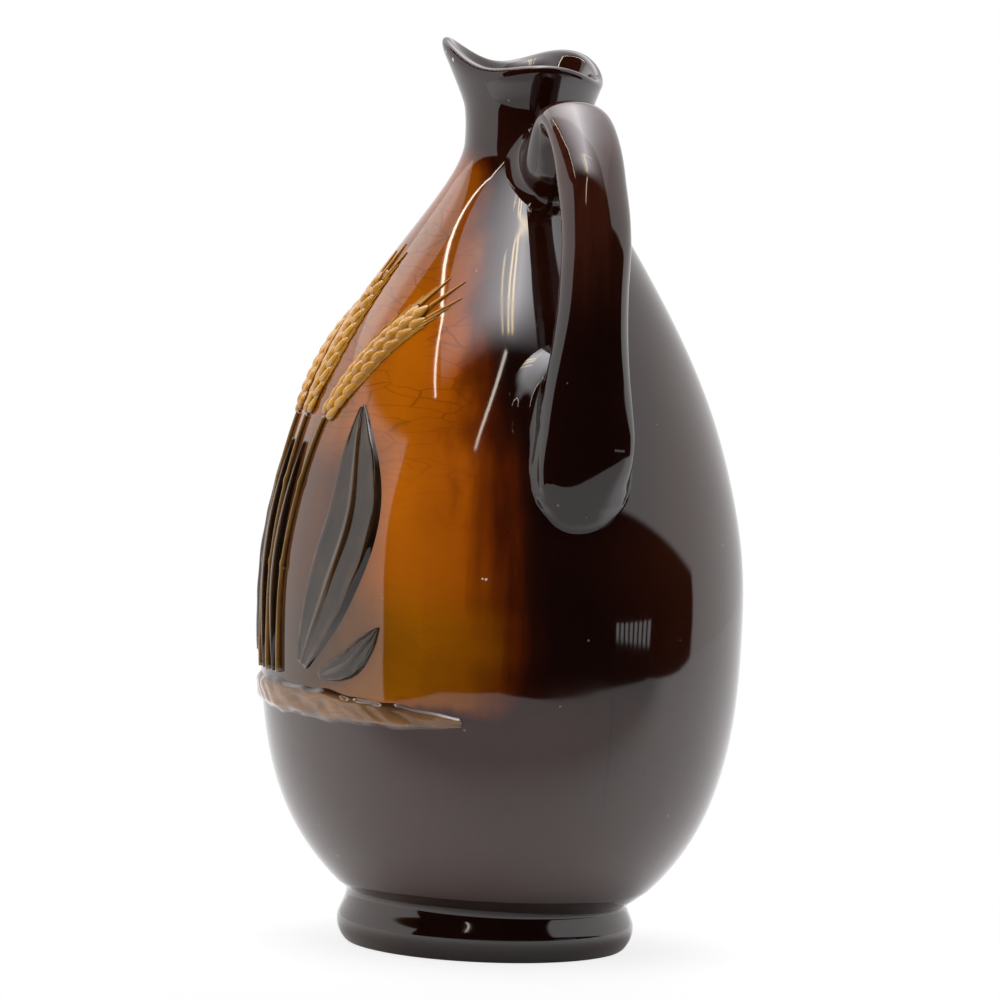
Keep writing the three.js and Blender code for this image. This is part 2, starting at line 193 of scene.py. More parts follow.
# %% [markdown]
# ## The vessel
# The belly halves, base, foot ring and neck are luted and glazed over, so the eye sees one skin. It could be
# a Screw modifier on a curve, but the lobed mouth isn't round, so the profile is turned in code and the mouth
# is then lifted and pulled out lobe by lobe. The profile runs from under the base, over the foot and up the
# outside, round the lip and down the inside, which closes the piece.

# %% Profile of the vessel
BASE_UNDER, BASE_TOP = 4.5, 10.5
INSIDE_STEPS = 70
FLOOR = [(26, 11.4), (22, 10.7), (11, BASE_TOP)]


def bore_radius(z):
    wall = WALL + (RIM_WALL - WALL) * eased(z, NECK, RIM - NECK)
    return outline_radius(z) - wall * np.hypot(1, outline_slope(z))


def arc(middle, radius, start, stop, steps):
    turn = np.radians(np.linspace(start, stop, steps))
    return np.stack([middle[0] + radius * np.cos(turn), middle[1] + radius * np.sin(turn)], -1)


def vessel_profile():
    base = [(9, BASE_UNDER), (18, BASE_UNDER), (24.6, BASE_UNDER), (25.4, 4.4), (26.2, 3.8), (29.2, 0.7), (29.9, 0.2)]
    rest = [(30.6, 0.0), (32.2, 0.0), (33.6, 0.0), (34.2, 0.15)]
    edge = bezier((34.7, 0.5), (35.9, 1.7), (36.9, 4.0), (36.65, 6.2), 10)
    side = bezier((36.55, 6.7), (36.2, 7.8), (35.6, 9.0), (35.25, 9.9), 7)
    waist = bezier((35.0, 10.6), (34.75, 11.5), (35.1, 12.6), (float(outline_radius(15.2)), 15.2), 12)
    tops = np.linspace(15.6, RIM - RIM_WALL / 2, 200)
    outside = np.stack([outline_radius(tops), tops], -1)
    lip = arc((outline_radius(tops[-1]) - RIM_WALL / 2, tops[-1]), RIM_WALL / 2, 20, 160, 9)
    depths = np.linspace(RIM - RIM_WALL / 2, BELLY_BOTTOM + 1.5, INSIDE_STEPS)
    inside = np.stack([bore_radius(depths), depths], -1)
    return np.vstack([base, rest, edge, side, waist, outside, lip, inside, FLOOR])


profile = vessel_profile()
print("profile points:", len(profile))

# %% Turn the profile and shape the mouth
COLUMNS = 192
# Degrees round from the handle, height, reach outwards and sharpness: the spout, the back lobe, the handle's lobe
LOBES = [(-115.6, 10.4, 5.5, 3.1), (134.0, 8.6, 4.0, 2.8), (-6.4, 4.3, 4.6, 3.4)]


def turned_vessel(profile):
    angle = np.linspace(0, 2 * math.pi, COLUMNS, endpoint=False)[None, :]
    radius, z = profile[:, :1], profile[:, 1:]
    outer = (np.arange(len(profile)) < len(profile) - INSIDE_STEPS - len(FLOOR))[:, None]
    radius = radius + wall_wave(angle, z) * outer
    share = eased(z, LOBE_START, RIM - LOBE_START)
    for turn, rise, reach, sharpness in LOBES:
        swell = share * np.exp(sharpness * (np.cos(angle - math.radians(turn)) - 1))
        radius = radius + reach * swell
        z = z + rise * swell
    return np.stack([radius * np.cos(angle), radius * np.sin(angle) + centre_shift(z), z + 0 * angle], -1)


rings = turned_vessel(profile)
poles = [(0, float(centre_shift(z)), z) for z in (BASE_UNDER, BASE_TOP)]
points = np.vstack([rings.reshape(-1, 3), poles])
vessel = new_piece("glazed_vessel", points, ring_faces(len(rings), COLUMNS, len(points) - 2, len(points) - 1))
print("vessel faces:", len(vessel.data.polygons))

# %% [markdown]
# ## The handle
# The strap is pulled clay: a wide band with a domed face and rounded edges, a little aslant, flared where it is
# pressed to the neck and ending in a tongue smoothed onto the belly. A web of clay fills the corner under it, and
# a low coil lies round the tongue. Fillets are hard to model by hand, so the shape is written as distances: how
# far a point is from the strap, from the web and from the pot with its coil. A soft minimum of them fills the
# corners the way a wet thumb does. A voxel remesh gives the faces, and each vertex is then walked onto the
# exact surface.

# %% Path of the strap
UPPER_ROOT, LOWER_ROOT, TONGUE_TIP = 191.9, 123.4, 106.0
APEX_OUT, APEX_UP = 15.5, 12.3


def hermite(p1, p2, start, stop, t):
    """A cubic from one point to the next that leaves and arrives in the given directions."""
    return (p1 + start * t + (3 * (p2 - p1) - 2 * start - stop) * t ** 2
            + (2 * (p1 - p2) + start + stop) * t ** 3)


def centripetal(points, steps=50):
    points = [np.array(p, float) for p in points]
    points = [2 * points[0] - points[1], *points, 2 * points[-1] - points[-2]]
    t = np.linspace(0, 1, steps, endpoint=False)[:, None]
    curve = []
    for p0, p1, p2, p3 in zip(points, points[1:], points[2:], points[3:]):
        a, b, c = (math.sqrt(np.linalg.norm(q - p)) for p, q in ((p0, p1), (p1, p2), (p2, p3)))
        start = ((p1 - p0) / a - (p2 - p0) / (a + b) + (p2 - p1) / b) * b
        stop = ((p2 - p1) / b - (p3 - p1) / (b + c) + (p3 - p2) / c) * b
        curve.append(hermite(p1, p2, start, stop, t))
    return np.vstack([*curve, points[-2][None]])


def run_along(line):
    return np.concatenate([[0], np.cumsum(np.linalg.norm(np.diff(line, axis=0), axis=1))])


def resample(line, share):
    run = run_along(line)
    return np.stack([np.interp(share * run[-1], run, line[:, i]) for i in range(2)], -1)


root_radius = float(outline_radius(UPPER_ROOT))
strap_middle = float(outline_radius(LOWER_ROOT)) + 2.6
strap_run = UPPER_ROOT - LOWER_ROOT
strap_curve = centripetal([
    (root_radius - 5, UPPER_ROOT - 1.6),
    (root_radius + 0.28 * APEX_OUT, UPPER_ROOT + 0.22 * APEX_UP),
    (root_radius + APEX_OUT, UPPER_ROOT + APEX_UP),
    ((root_radius + APEX_OUT + strap_middle) / 2 + 1, UPPER_ROOT + 0.45 * APEX_UP),
    (strap_middle - 2.2, UPPER_ROOT - 0.13 * strap_run),
    (strap_middle, UPPER_ROOT - 0.42 * strap_run),
    (strap_middle, LOWER_ROOT + 0.3 * strap_run),
    (strap_middle, LOWER_ROOT),
    (float(outline_radius(TONGUE_TIP)) - 4.3, TONGUE_TIP),
])
print("strap path points:", len(strap_curve))

# %% Size of the strap along its path
STRAP_SAMPLES = 320
STRAP_WIDTH, STRAP_DEPTH = 17.2, 9.6
ROOT_WIDTH, ROOT_DEPTH = 14.4, 22.0
TONGUE_WIDTH, TONGUE_DEPTH = 24.0, 9.0
DOME = 2.4
# Shares of the strap's length: where each change starts, and over how much of it the change runs
FLARE, SPREAD, SQUARING, FILLING = (0, 0.2), (0.55, 0.33), (0.72, 0.16), (0.6, 0.1)
DOME_GROWS, DOME_FADES = (0.2, 0.2), (0.62, 0.28)
TONGUE_START, TIP_START, TIP_RUN = 0.86, 0.965, 0.035

share = np.linspace(0, 1, STRAP_SAMPLES)
path = resample(strap_curve, share)
along = np.gradient(path, axis=0)
along /= np.linalg.norm(along, axis=1, keepdims=True)
outward = np.stack([-along[:, 1], along[:, 0]], -1)
flare, spread = 1 - eased(share, *FLARE), eased(share, *SPREAD)


def strap_half(strap, root, tongue):
    return (strap + flare * (root - strap) + spread * (tongue - strap)) / 2


near_end = np.clip((share - TONGUE_START) / (1 - TONGUE_START), 0, 1)
half_width = strap_half(STRAP_WIDTH, ROOT_WIDTH, TONGUE_WIDTH) * np.sqrt(np.maximum(1 - near_end ** 2, 0.01))
near_tip = np.clip((share - TIP_START) / TIP_RUN, 0, 1)
half_depth = strap_half(STRAP_DEPTH, ROOT_DEPTH, TONGUE_DEPTH) * np.sqrt(np.maximum(1 - near_tip ** 2, 0.04))
squareness = 2.0 + 0.4 * eased(share, *SQUARING)
dome = DOME * eased(share, *DOME_GROWS) * (1 - eased(share, *DOME_FADES))
path = path - outward * dome[:, None]
outer_depth, inner_depth = half_depth + dome, half_depth - dome
stand_off = (path[:, 0] - outline_radius(path[:, 1])) / np.hypot(1, outline_slope(path[:, 1]))
filled_depth = inner_depth + eased(share, *FILLING) * np.maximum(stand_off + 1.5 - inner_depth, 0)
strap_length = run_along(strap_curve)[-1]
print("strap length %.1f mm" % strap_length)

# %% Distance to the strap and to the pot
STRAP_STEP = strap_length / (STRAP_SAMPLES - 1)
# Heights, with how far the tongue is turned and how far the strap leans sideways at each
TWIST_AT, TWIST = [107, 127], [0.12, 0]
LEAN_AT, LEAN = [118, 130, 175, 190], [0, 0.9, 0.9, 0]


def strap_distance(p):
    flat = p[:, [0, 2]]
    near = (flat @ path.T * -2 + (path ** 2).sum(1)).argmin(1)
    past = ((flat - path[near]) * along[near]).sum(1)
    place = np.clip(near + past / STRAP_STEP, 0, STRAP_SAMPLES - 1)
    low = np.minimum(place.astype(int), STRAP_SAMPLES - 2)
    part = place - low
    rows = (path, outward, half_width, outer_depth, inner_depth, squareness)
    middle, facing, width, depth, inner, power = ((row[low].T * (1 - part) + row[low + 1].T * part).T for row in rows)
    deep = ((flat - middle) * facing).sum(1) + p[:, 1] * np.interp(p[:, 2], TWIST_AT, TWIST)
    across = np.abs(p[:, 1] - np.interp(p[:, 2], LEAN_AT, LEAN))
    depth = np.where(deep < 0, inner, depth)
    deep = np.abs(deep)
    size = ((across / width) ** power + (deep / depth) ** power) ** (1 / power)
    far = np.hypot(across, deep) * (1 - 1 / np.maximum(size, 0.05))
    beyond = np.where(near == STRAP_SAMPLES - 1, np.maximum(past, 0), 0)
    return np.where(beyond > 0, np.hypot(np.maximum(far, 0), beyond), far)


def pot_distance(p):
    angle = np.arctan2(p[:, 1], p[:, 0])
    wall = outline_radius(p[:, 2]) + wall_wave(angle, p[:, 2])
    return (np.hypot(p[:, 0], p[:, 1]) - wall) / np.hypot(1, outline_slope(p[:, 2]))


print("strap depth at mid height: %.2f mm" % -strap_distance(np.array([[strap_middle, 0, 150.0]]))[0])

# %% Coil, web and fillets
POT_SINK = 0.06
COIL_HEIGHT, COIL_MIDDLE, COIL_HALF = 1.1, (-1.0, 128.5), (15.7, 22.3)
COIL_EDGE, COIL_FADE = 0.13, (110, 14)
WEB_WIDTH, WEB_LOW, WEB_TOP = 11.4, 114.0, 146.5
WEB_LOW_END, WEB_TOP_END, WEB_INSET, WEB_SLANT = 16, 22.5, 0.6, 0.8
# How soft the corner is between strap and web, and at each height between handle and pot
WEB_CORNER = 2.0
CORNER_AT, CORNER = [107, 114, 126, 143, 156, 172, 186], [1.6, 2.6, 3.6, 4.0, 4.0, 4.6, 3.4]
down = np.arange(STRAP_SAMPLES)[np.argmax(path[:, 1]):][::-1]


def coil_rise(p):
    reach = np.hypot((p[:, 1] - COIL_MIDDLE[0]) / COIL_HALF[0], (p[:, 2] - COIL_MIDDLE[1]) / COIL_HALF[1])
    return COIL_HEIGHT * smooth((1 - reach) / COIL_EDGE) * eased(p[:, 2], *COIL_FADE)


def web_distance(p, from_pot):
    """A tapering wall of clay from the pot to the strap, narrow at the ends of its foot."""
    z = p[:, 2]
    room = np.maximum(np.interp(z, path[down, 1], stand_off[down]), 0.5)
    high = np.clip(1 - (WEB_TOP - z) / WEB_TOP_END, 0, 1)
    low = np.clip(1 - (z - WEB_LOW) / WEB_LOW_END, 0, 1)
    foot = WEB_WIDTH * np.sqrt((1 - high ** 2) * (1 - low ** 2))
    head = np.interp(z, path[down, 1], half_width[down]) - WEB_INSET
    width = foot + (head - foot) * np.clip(from_pot / room, 0, 1)
    ends = np.maximum(z - WEB_TOP, WEB_LOW - z)
    return WEB_SLANT * np.maximum.reduce([np.abs(p[:, 1]) - width, from_pot - room, ends])


def soft_minimum(a, b, soft):
    mix = np.clip(0.5 + 0.5 * (b - a) / soft, 0, 1)
    return b + (a - b) * mix - soft * mix * (1 - mix)


def root_distance(p):
    wall = pot_distance(p) + POT_SINK
    handle = soft_minimum(strap_distance(p), web_distance(p, wall), WEB_CORNER)
    return soft_minimum(handle, wall - coil_rise(p), np.interp(p[:, 2], CORNER_AT, CORNER))


print("web from %.0f to %.0f mm up" % (WEB_LOW, WEB_TOP))

# %% Rough handle: a loft, and a low pad of clay under each root
PAD_RISE, PAD_SINK = 0.7, 0.6
# Height, half width and half height of each pad
PADS = [(190.5, 16.0, 21), (129, 24.5, 33)]


def strap_rings():
    turn = np.linspace(0, 2 * math.pi, 40, endpoint=False)
    rounder = 2 / squareness.mean()
    across = np.sign(np.cos(turn)) * np.abs(np.cos(turn)) ** rounder
    deep = np.sign(np.sin(turn)) * np.abs(np.sin(turn)) ** rounder
    for i in range(6, STRAP_SAMPLES, 3):
        flat = path[i] + outward[i] * (deep * np.where(deep < 0, filled_depth[i], outer_depth[i]))[:, None]
        yield np.stack([flat[:, 0], across * half_width[i], flat[:, 1]], -1)


def root_pad(z, wide, tall):
    ring = np.linspace(0, 2 * math.pi, 48, endpoint=False)
    rings = []
    for tip in np.radians(np.linspace(4, 176, 32)):
        reach = math.sin(tip)
        off = np.full_like(ring, PAD_RISE * math.cos(tip) - PAD_SINK)
        rings.append(on_vessel(HANDLE_SIDE, wide * reach * np.cos(ring), z + tall * reach * np.sin(ring), off))
    pad = np.array(rings)
    pad[..., 1] -= centre_shift(pad[..., 2])
    return pad


rough = [skin("strap", list(strap_rings()))] + [skin("pad", root_pad(*pad)) for pad in PADS]
print("rough handle pieces:", len(rough))

# %% Remesh the rough handle
VOXEL = 0.75 * MM


def read_all(items, field, size, kind=float):
    values = np.zeros(len(items) * size, kind)
    items.foreach_get(field, values)
    return values.reshape(-1, size)


rough = join(rough)
remesh = rough.modifiers.new("voxels", "REMESH")
remesh.mode = "VOXEL"
remesh.voxel_size = VOXEL
depsgraph = bpy.context.evaluated_depsgraph_get()
handle_mesh = bpy.data.meshes.new_from_object(rough.evaluated_get(depsgraph))
bpy.data.objects.remove(rough)
places = read_all(handle_mesh.vertices, "co", 3) / MM
edges = read_all(handle_mesh.edges, "vertices", 2, int)
print("handle vertices:", len(places))

# %% Walk the vertices onto the filleted surface
WALK_TURNS, RELAX_TURNS, LONGEST_STEP = 5, (1, 3), 1.5


def slope_of(p, step=0.12):
    rise = [(root_distance(p + step * axis) - root_distance(p - step * axis)) / (2 * step) for axis in np.eye(3)]
    return np.stack(rise, -1)


def relaxed(p):
    """Each point moved to the middle of its neighbours."""
    total, count = np.zeros_like(p), np.zeros(len(p))
    for a, b in ((0, 1), (1, 0)):
        np.add.at(total, edges[:, a], p[edges[:, b]])
        np.add.at(count, edges[:, a], 1)
    return total / count[:, None]


seen = pot_distance(places) > -0.5
for turn in range(WALK_TURNS):
    if turn in RELAX_TURNS:
        places[seen] += 0.6 * (relaxed(places) - places)[seen]
    gap, rise = root_distance(places[seen]), slope_of(places[seen])
    steep = np.maximum((rise ** 2).sum(1), 0.2)
    places[seen] -= np.clip(gap / steep, -LONGEST_STEP, LONGEST_STEP)[:, None] * rise
print("largest gap left: %.3f mm" % np.abs(root_distance(places[seen])).max())

# %% Ease the steep top of the web under the strap
EASED_LOW, EASED_TOP, EASED_EDGE = 136.0, 160.0, 5.0
EASE_TURNS = 30
ease = smooth((strap_distance(places) - 0.03) / 0.4)
ease *= eased(places[:, 2], EASED_LOW, EASED_EDGE) * smooth((EASED_TOP - places[:, 2]) / EASED_EDGE)
ease = (ease * seen)[:, None]
before = places.copy()
for turn in range(EASE_TURNS):
    places += 0.5 * ease * (relaxed(places) - places)
print("eased points: %d, by at most %.2f mm" % ((ease > 0.01).sum(), np.abs(places - before).max()))

# %% Keep the hidden side of the roots inside the wall, and set the normals
HIDDEN_DEPTH = 1.2
deep = pot_distance(places)
inside = (deep < -1.0) & ~seen
reach = np.hypot(places[inside, 0], places[inside, 1])
places[inside, :2] *= ((reach - deep[inside] - HIDDEN_DEPTH) / reach)[:, None]


def unit(rows):
    return rows / np.maximum(np.linalg.norm(rows, axis=1, keepdims=True), 1e-6)


normals = unit(slope_of(places))
places[:, 1] += centre_shift(places[:, 2])
handle_mesh.vertices.foreach_set("co", (places * MM).ravel())
handle_mesh.update()
normals += ease * (read_all(handle_mesh.vertex_normals, "vector", 3) - normals)
for turn in range(3):
    normals = unit(normals)
    normals = (normals + relaxed(normals)) / 2
handle_mesh.shade_smooth()
handle_mesh.normals_split_custom_set_from_vertices(normals.tolist())
handle_mesh.name = "glazed_handle"
handle = in_scene("glazed_handle", handle_mesh)
print("handle faces:", len(handle_mesh.polygons))

# %% [markdown]
# ## Relief on the front
# Sprigs are thin pads of clay pressed from a mould and stuck on: stalks, ears, leaves and a strip of ground.
# Each is a ridge along a line drawn on the unrolled front. Its section is a soft plateau whose edge dips just
# under the pot, because the glaze rounds every corner. A "rise" attribute keeps how high each point stands, so
# that the glaze can run thin on the crests and pool dark at the feet.

# %% Lines and ridges on the front
SPRIG_SINK, SPRIG_UNDER = 0.25, -0.9
MOUND, PLANT_FOOT, STALK_TOP = 62.4, 67.9, 129.4
EAR_FOOT, EAR_LENGTH = 130.2, 33.0


def line_through(*places, steps=24):
    places = np.array(places, float)
    t = np.linspace(0, 1, steps, endpoint=False)[:, None]
    curve = []
    for i in range(len(places) - 1):
        p0, p1, p2, p3 = (places[min(max(k, 0), len(places) - 1)] for k in (i - 1, i, i + 1, i + 2))
        curve.append(hermite(p1, p2, (p2 - p0) / 2, (p3 - p1) / 2, t))
    return np.vstack([*curve, places[-1:]])


def ridge(name, line, size, steps, sides, edge, crest=None):
    share = np.linspace(0, 1, steps)
    middle = resample(line, share)
    along = np.gradient(middle, axis=0)
    along /= np.linalg.norm(along, axis=1, keepdims=True)
    half, height = size(share)
    across = np.linspace(-1, 1, sides)
    shape = np.repeat(smooth((1 - np.abs(across)) / edge)[None], steps, 0)
    if crest is not None:
        shape = shape * crest(share[:, None], across[None, :])
    top = -SPRIG_SINK + (height[:, None] + SPRIG_SINK) * shape
    sideways = middle[:, :1] - across[None] * half[:, None] * along[:, 1:]
    z = middle[:, 1:] + across[None] * half[:, None] * along[:, :1]
    upper = on_vessel(FRONT_SIDE, sideways, z, top)
    under = on_vessel(FRONT_SIDE, sideways[:, ::-1], z[:, ::-1], np.full_like(z, SPRIG_UNDER))
    piece = skin(name, np.concatenate([upper, under], 1))
    rise = np.concatenate([shape, np.zeros_like(shape)], 1).ravel()
    kept = piece.data.attributes.new("rise", "FLOAT", "POINT")
    kept.data.foreach_set("value", np.concatenate([rise, [0.0, 0.0]]))
    return piece


print("relief runs from %.0f to %.0f mm" % (MOUND, EAR_FOOT + EAR_LENGTH))

# %% [markdown]
# ### Stalks, leaves and ground
# Stalks swell a little at their joints. A leaf has a raised rib down its middle, fine ribs beside it and a
# thickened margin. The ground is a low bank with an uneven crest.

# %% Stalks and ground
STALK_SPREAD, STALK_WIDTH, STALK_HEIGHT = 7.0, 2.0, 1.3
GROUND_WIDTH, GROUND_HEIGHT = 4.6, 1.6
GROUND_LINE = [(-44, 61.4), (0, MOUND), (64, 60.4)]
HANDS = {"left": -1, "middle": 0, "right": 1}


def stalk_size(share):
    joint = np.exp(-((share - 0.42) / 0.018) ** 2) + np.exp(-((share - 0.74) / 0.018) ** 2)
    taper = (1 - 0.25 * share) * (1 + 0.22 * joint)
    return STALK_WIDTH * 0.62 * taper, STALK_HEIGHT * taper


def stalk(name, hand):
    foot = hand * STALK_SPREAD
    middle = (foot * 1.15, (PLANT_FOOT + STALK_TOP) / 2)
    line = line_through((foot, PLANT_FOOT), middle, (foot * 1.55, STALK_TOP + 0.8))
    return ridge(name, line, stalk_size, 70, 12, 0.9)


def ground_crest(share, across):
    lumps = np.sin(19 * share + 2 * across) + 0.7 * np.sin(43 * share - 4 * across + 1 + 2 * np.sin(11 * share))
    return 0.84 + 0.07 * lumps + 0.04 * np.sin(97 * share + 6 * across + 3 * np.sin(17 * share))


def ground_size(share):
    swell = np.sin(math.pi * (0.03 + 0.94 * share)) ** 0.45
    ragged = 1 + 0.07 * np.sin(31 * share) + 0.05 * np.sin(67 * share + 1)
    return GROUND_WIDTH * swell * ragged, GROUND_HEIGHT * swell


relief = {f"stalk_{side}": stalk(f"barley_stalk_{side}", hand) for side, hand in HANDS.items()}
relief["ground_sprig"] = ridge("ground_bank", line_through(*GROUND_LINE), ground_size, 170, 30, 0.6, ground_crest)
print("stalks and ground:", sorted(relief))

# %% Leaves
LEAF_HEIGHT = 1.7
BROAD_WIDTH, LOW_WIDTH, BLADE_WIDTH = 18, 7.4, 3.2
BROAD = STALK_SPREAD * 1.25 + STALK_WIDTH + 3.2 + 4.5
# Places along each leaf: sideways from the middle, and up from the plant's foot
BROAD_LINE = [(BROAD, 3), (BROAD + 9, 22), (BROAD + 13, 42), (BROAD + 5, 66)]
LOW_LINE = [(BROAD + 6.66, 1), (BROAD + 16.66, 5), (BROAD + 24.66, 14)]
BLADE_LINE = [(3.7, 0), (3.885, 26), (4.81, 56)]


def leaf_size(width):
    def size(share):
        swell = np.sin(math.pi * np.minimum(0.06 + 0.93 * share, 0.99)) ** 0.8
        return width / 2 * swell, LEAF_HEIGHT * (0.35 + 0.65 * swell)
    return size


def leaf_crest(share, across):
    rib = np.exp(-(across / 0.09) ** 2)
    fine = np.cos(across * 26 + 1.5 * np.sin(6 * share)) ** 2
    margin = np.exp(-((np.abs(across) - 0.72) / 0.12) ** 2)
    return 0.7 + 0.3 * rib + 0.03 * fine + 0.14 * margin * (0.7 + 0.3 * np.sin(38 * share))


for side in ("left", "right"):
    for kind, places, width, steps, sides, edge, crest in (
            ("broad_leaf", BROAD_LINE, BROAD_WIDTH, 110, 44, 0.2, leaf_crest),
            ("low_leaf", LOW_LINE, LOW_WIDTH, 60, 30, 0.25, leaf_crest),
            ("blade", BLADE_LINE, BLADE_WIDTH, 70, 14, 0.8, None)):
        line = line_through(*[(HANDS[side] * sideways, PLANT_FOOT + rise) for sideways, rise in places])
        name = f"{kind}_{side}"
        relief[name] = ridge(f"barley_{name}", line, leaf_size(width), steps, sides, edge, crest)
print("leaves:", [name for name in relief if "lea" in name or "blade" in name])

# %% [markdown]
# ### Ears of barley
# An ear is a row of grains on each side and one down the middle, each with a long bristle. That repeats, so
# Geometry Nodes make it: the points of a small mesh say where each grain sits, which way it points and which
# way is out of the pot, and the tree puts a pointed grain on each. The bristles are edges that the tree turns
# into thin tapered tubes. Node maths is tiring to read as nodes, so a small class wraps a socket: a sum or a
# product of two puts the Math node that works it out.

# %% Node helpers
def connect(tree, socket, value):
    """Link a value to a socket, or write a plain number or colour into it."""
    value = getattr(value, "socket", value)
    if isinstance(value, bpy.types.NodeSocket):
        tree.links.new(value, socket)
    elif socket.type == "RGBA" and len(value) == 3:
        socket.default_value = (*value, 1)
    else:
        socket.default_value = value


def put(tree, kind, links=None, **settings):
    node = tree.nodes.new(kind)
    for key, value in settings.items():
        setattr(node, key, value)
    for key, value in (links or {}).items():
        connect(tree, node.inputs[key], value)
    return node


def get(tree, kind, links=None, output=0, **settings):
    return Value(tree, put(tree, kind, links, **settings).outputs[output])


def outputs_of(tree, kind, links=None, **settings):
    return {socket.name: Value(tree, socket) for socket in put(tree, kind, links, **settings).outputs}


class Value:
    """An output of a node, with arithmetic that puts more nodes into its tree."""

    def __init__(self, tree, socket):
        self.tree, self.socket = tree, socket

    def math(self, operation, other=0.0):
        return get(self.tree, "ShaderNodeMath", {0: self, 1: other}, operation=operation)

    def __add__(self, other):
        return self.math("ADD", other)

    def __sub__(self, other):
        return self.math("SUBTRACT", other)

    def __rsub__(self, other):
        return get(self.tree, "ShaderNodeMath", {0: other, 1: self}, operation="SUBTRACT")

    def __mul__(self, other):
        return self.math("MULTIPLY", other)

    def __truediv__(self, other):
        return self.math("DIVIDE", other)

    def larger(self, other):
        return self.math("MAXIMUM", other)

    def clamped(self):
        self.socket.node.use_clamp = True
        return self

    def span(self, low, high, new_low=0.0, new_high=1.0):
        """A soft step from one range to another."""
        return get(self.tree, "ShaderNodeMapRange", {0: self, 1: low, 2: high, 3: new_low, 4: new_high},
                   interpolation_type="SMOOTHSTEP")

    def parts(self):
        return outputs_of(self.tree, "ShaderNodeSeparateXYZ", {0: self}).values()


print("node helpers ready")

# %% Grains and bristles in a tree
ear_tree = bpy.data.node_groups.new("barley_ear", "GeometryNodeTree")
ear_socket = {}
for name, kind in (("Places", "Geometry"), ("Grain Length", "Float"), ("Grain Width", "Float"),
                   ("Grain Height", "Float"), ("Glaze", "Material")):
    made = ear_tree.interface.new_socket(name, in_out="INPUT", socket_type="NodeSocket" + kind)
    ear_socket[name] = made.identifier
ear_tree.interface.new_socket("Ear", in_out="OUTPUT", socket_type="NodeSocketGeometry")
ear_in = outputs_of(ear_tree, "NodeGroupInput")
GRAIN_TAPER, BRISTLE_RISE = 0.75, 0.75


def named(tree, name, kind):
    return get(tree, "GeometryNodeInputNamedAttribute", {"Name": name}, "Attribute", data_type=kind)


def with_rise(tree, geometry, rise):
    return get(tree, "GeometryNodeStoreNamedAttribute", {"Geometry": geometry, "Name": "rise", "Value": rise},
               data_type="FLOAT", domain="POINT")


def put_grains(tree, points):
    ball = get(tree, "GeometryNodeMeshUVSphere", {"Segments": 14, "Rings": 9, "Radius": 0.5}, "Mesh")
    x, y, z = get(tree, "GeometryNodeInputPosition").parts()
    point = 1.0 - y * GRAIN_TAPER
    shaped = get(tree, "ShaderNodeCombineXYZ", {0: x * point * ear_in["Grain Width"], 1: y * ear_in["Grain Length"],
                                                2: z * point * ear_in["Grain Height"]})
    grain = get(tree, "GeometryNodeSetPosition", {"Geometry": with_rise(tree, ball, z + 0.5), "Position": shaped})
    turn = get(tree, "FunctionNodeAxesToRotation", {"Primary Axis": named(tree, "facing", "FLOAT_VECTOR"),
                                                    "Secondary Axis": named(tree, "along", "FLOAT_VECTOR")},
               primary_axis="Z", secondary_axis="Y")
    return get(tree, "GeometryNodeInstanceOnPoints", {"Points": points, "Instance": grain, "Rotation": turn,
                                                      "Scale": named(tree, "size", "FLOAT")})


def put_bristles(tree, lines):
    wires = get(tree, "GeometryNodeMeshToCurve", {"Mesh": lines})
    ring = get(tree, "GeometryNodeCurvePrimitiveCircle", {"Resolution": 8, "Radius": 1.0}, "Curve")
    tubes = get(tree, "GeometryNodeCurveToMesh", {"Curve": wires, "Profile Curve": ring,
                                                  "Scale": named(tree, "size", "FLOAT"), "Fill Caps": True})
    return with_rise(tree, tubes, BRISTLE_RISE)


apart = outputs_of(ear_tree, "GeometryNodeSeparateGeometry", {
    "Geometry": ear_in["Places"], "Selection": named(ear_tree, "grain", "BOOLEAN")}, domain="POINT")
both = put(ear_tree, "GeometryNodeJoinGeometry")
connect(ear_tree, both.inputs[0], put_grains(ear_tree, apart["Selection"]))
connect(ear_tree, both.inputs[0], put_bristles(ear_tree, apart["Inverted"]))
real = get(ear_tree, "GeometryNodeRealizeInstances", {"Geometry": both.outputs[0]})
even = get(ear_tree, "GeometryNodeSetShadeSmooth", {"Geometry": real})
glazed = get(ear_tree, "GeometryNodeSetMaterial", {"Geometry": even, "Material": ear_in["Glaze"]})
put(ear_tree, "NodeGroupOutput", {"Ear": glazed})
print("ear tree nodes:", len(ear_tree.nodes))

# %% [markdown]
# ## Glaze
# The colour isn't paint. A clear brown glaze lies over a pale body: thin and warm over the amber front, thick
# and nearly black at the neck, handle, back and foot. The groups below give what several finishes share: fine
# crazing, the skin of the glaze with its pinholes, and the flow of amber into brown round the pot. They give
# colours, masks and heights only, and each material holds its own shader.

# %% Helpers for shader groups
def shader_group(name, numbers, outputs):
    """A group that takes a place and some numbers."""
    tree = bpy.data.node_groups.new(name, "ShaderNodeTree")
    tree.interface.new_socket("Where", in_out="INPUT", socket_type="NodeSocketVector")
    for socket, number in numbers.items():
        tree.interface.new_socket(socket, in_out="INPUT", socket_type="NodeSocketFloat").default_value = number
    for socket, kind in outputs.items():
        tree.interface.new_socket(socket, in_out="OUTPUT", socket_type="NodeSocket" + kind)
    return tree, outputs_of(tree, "NodeGroupInput")


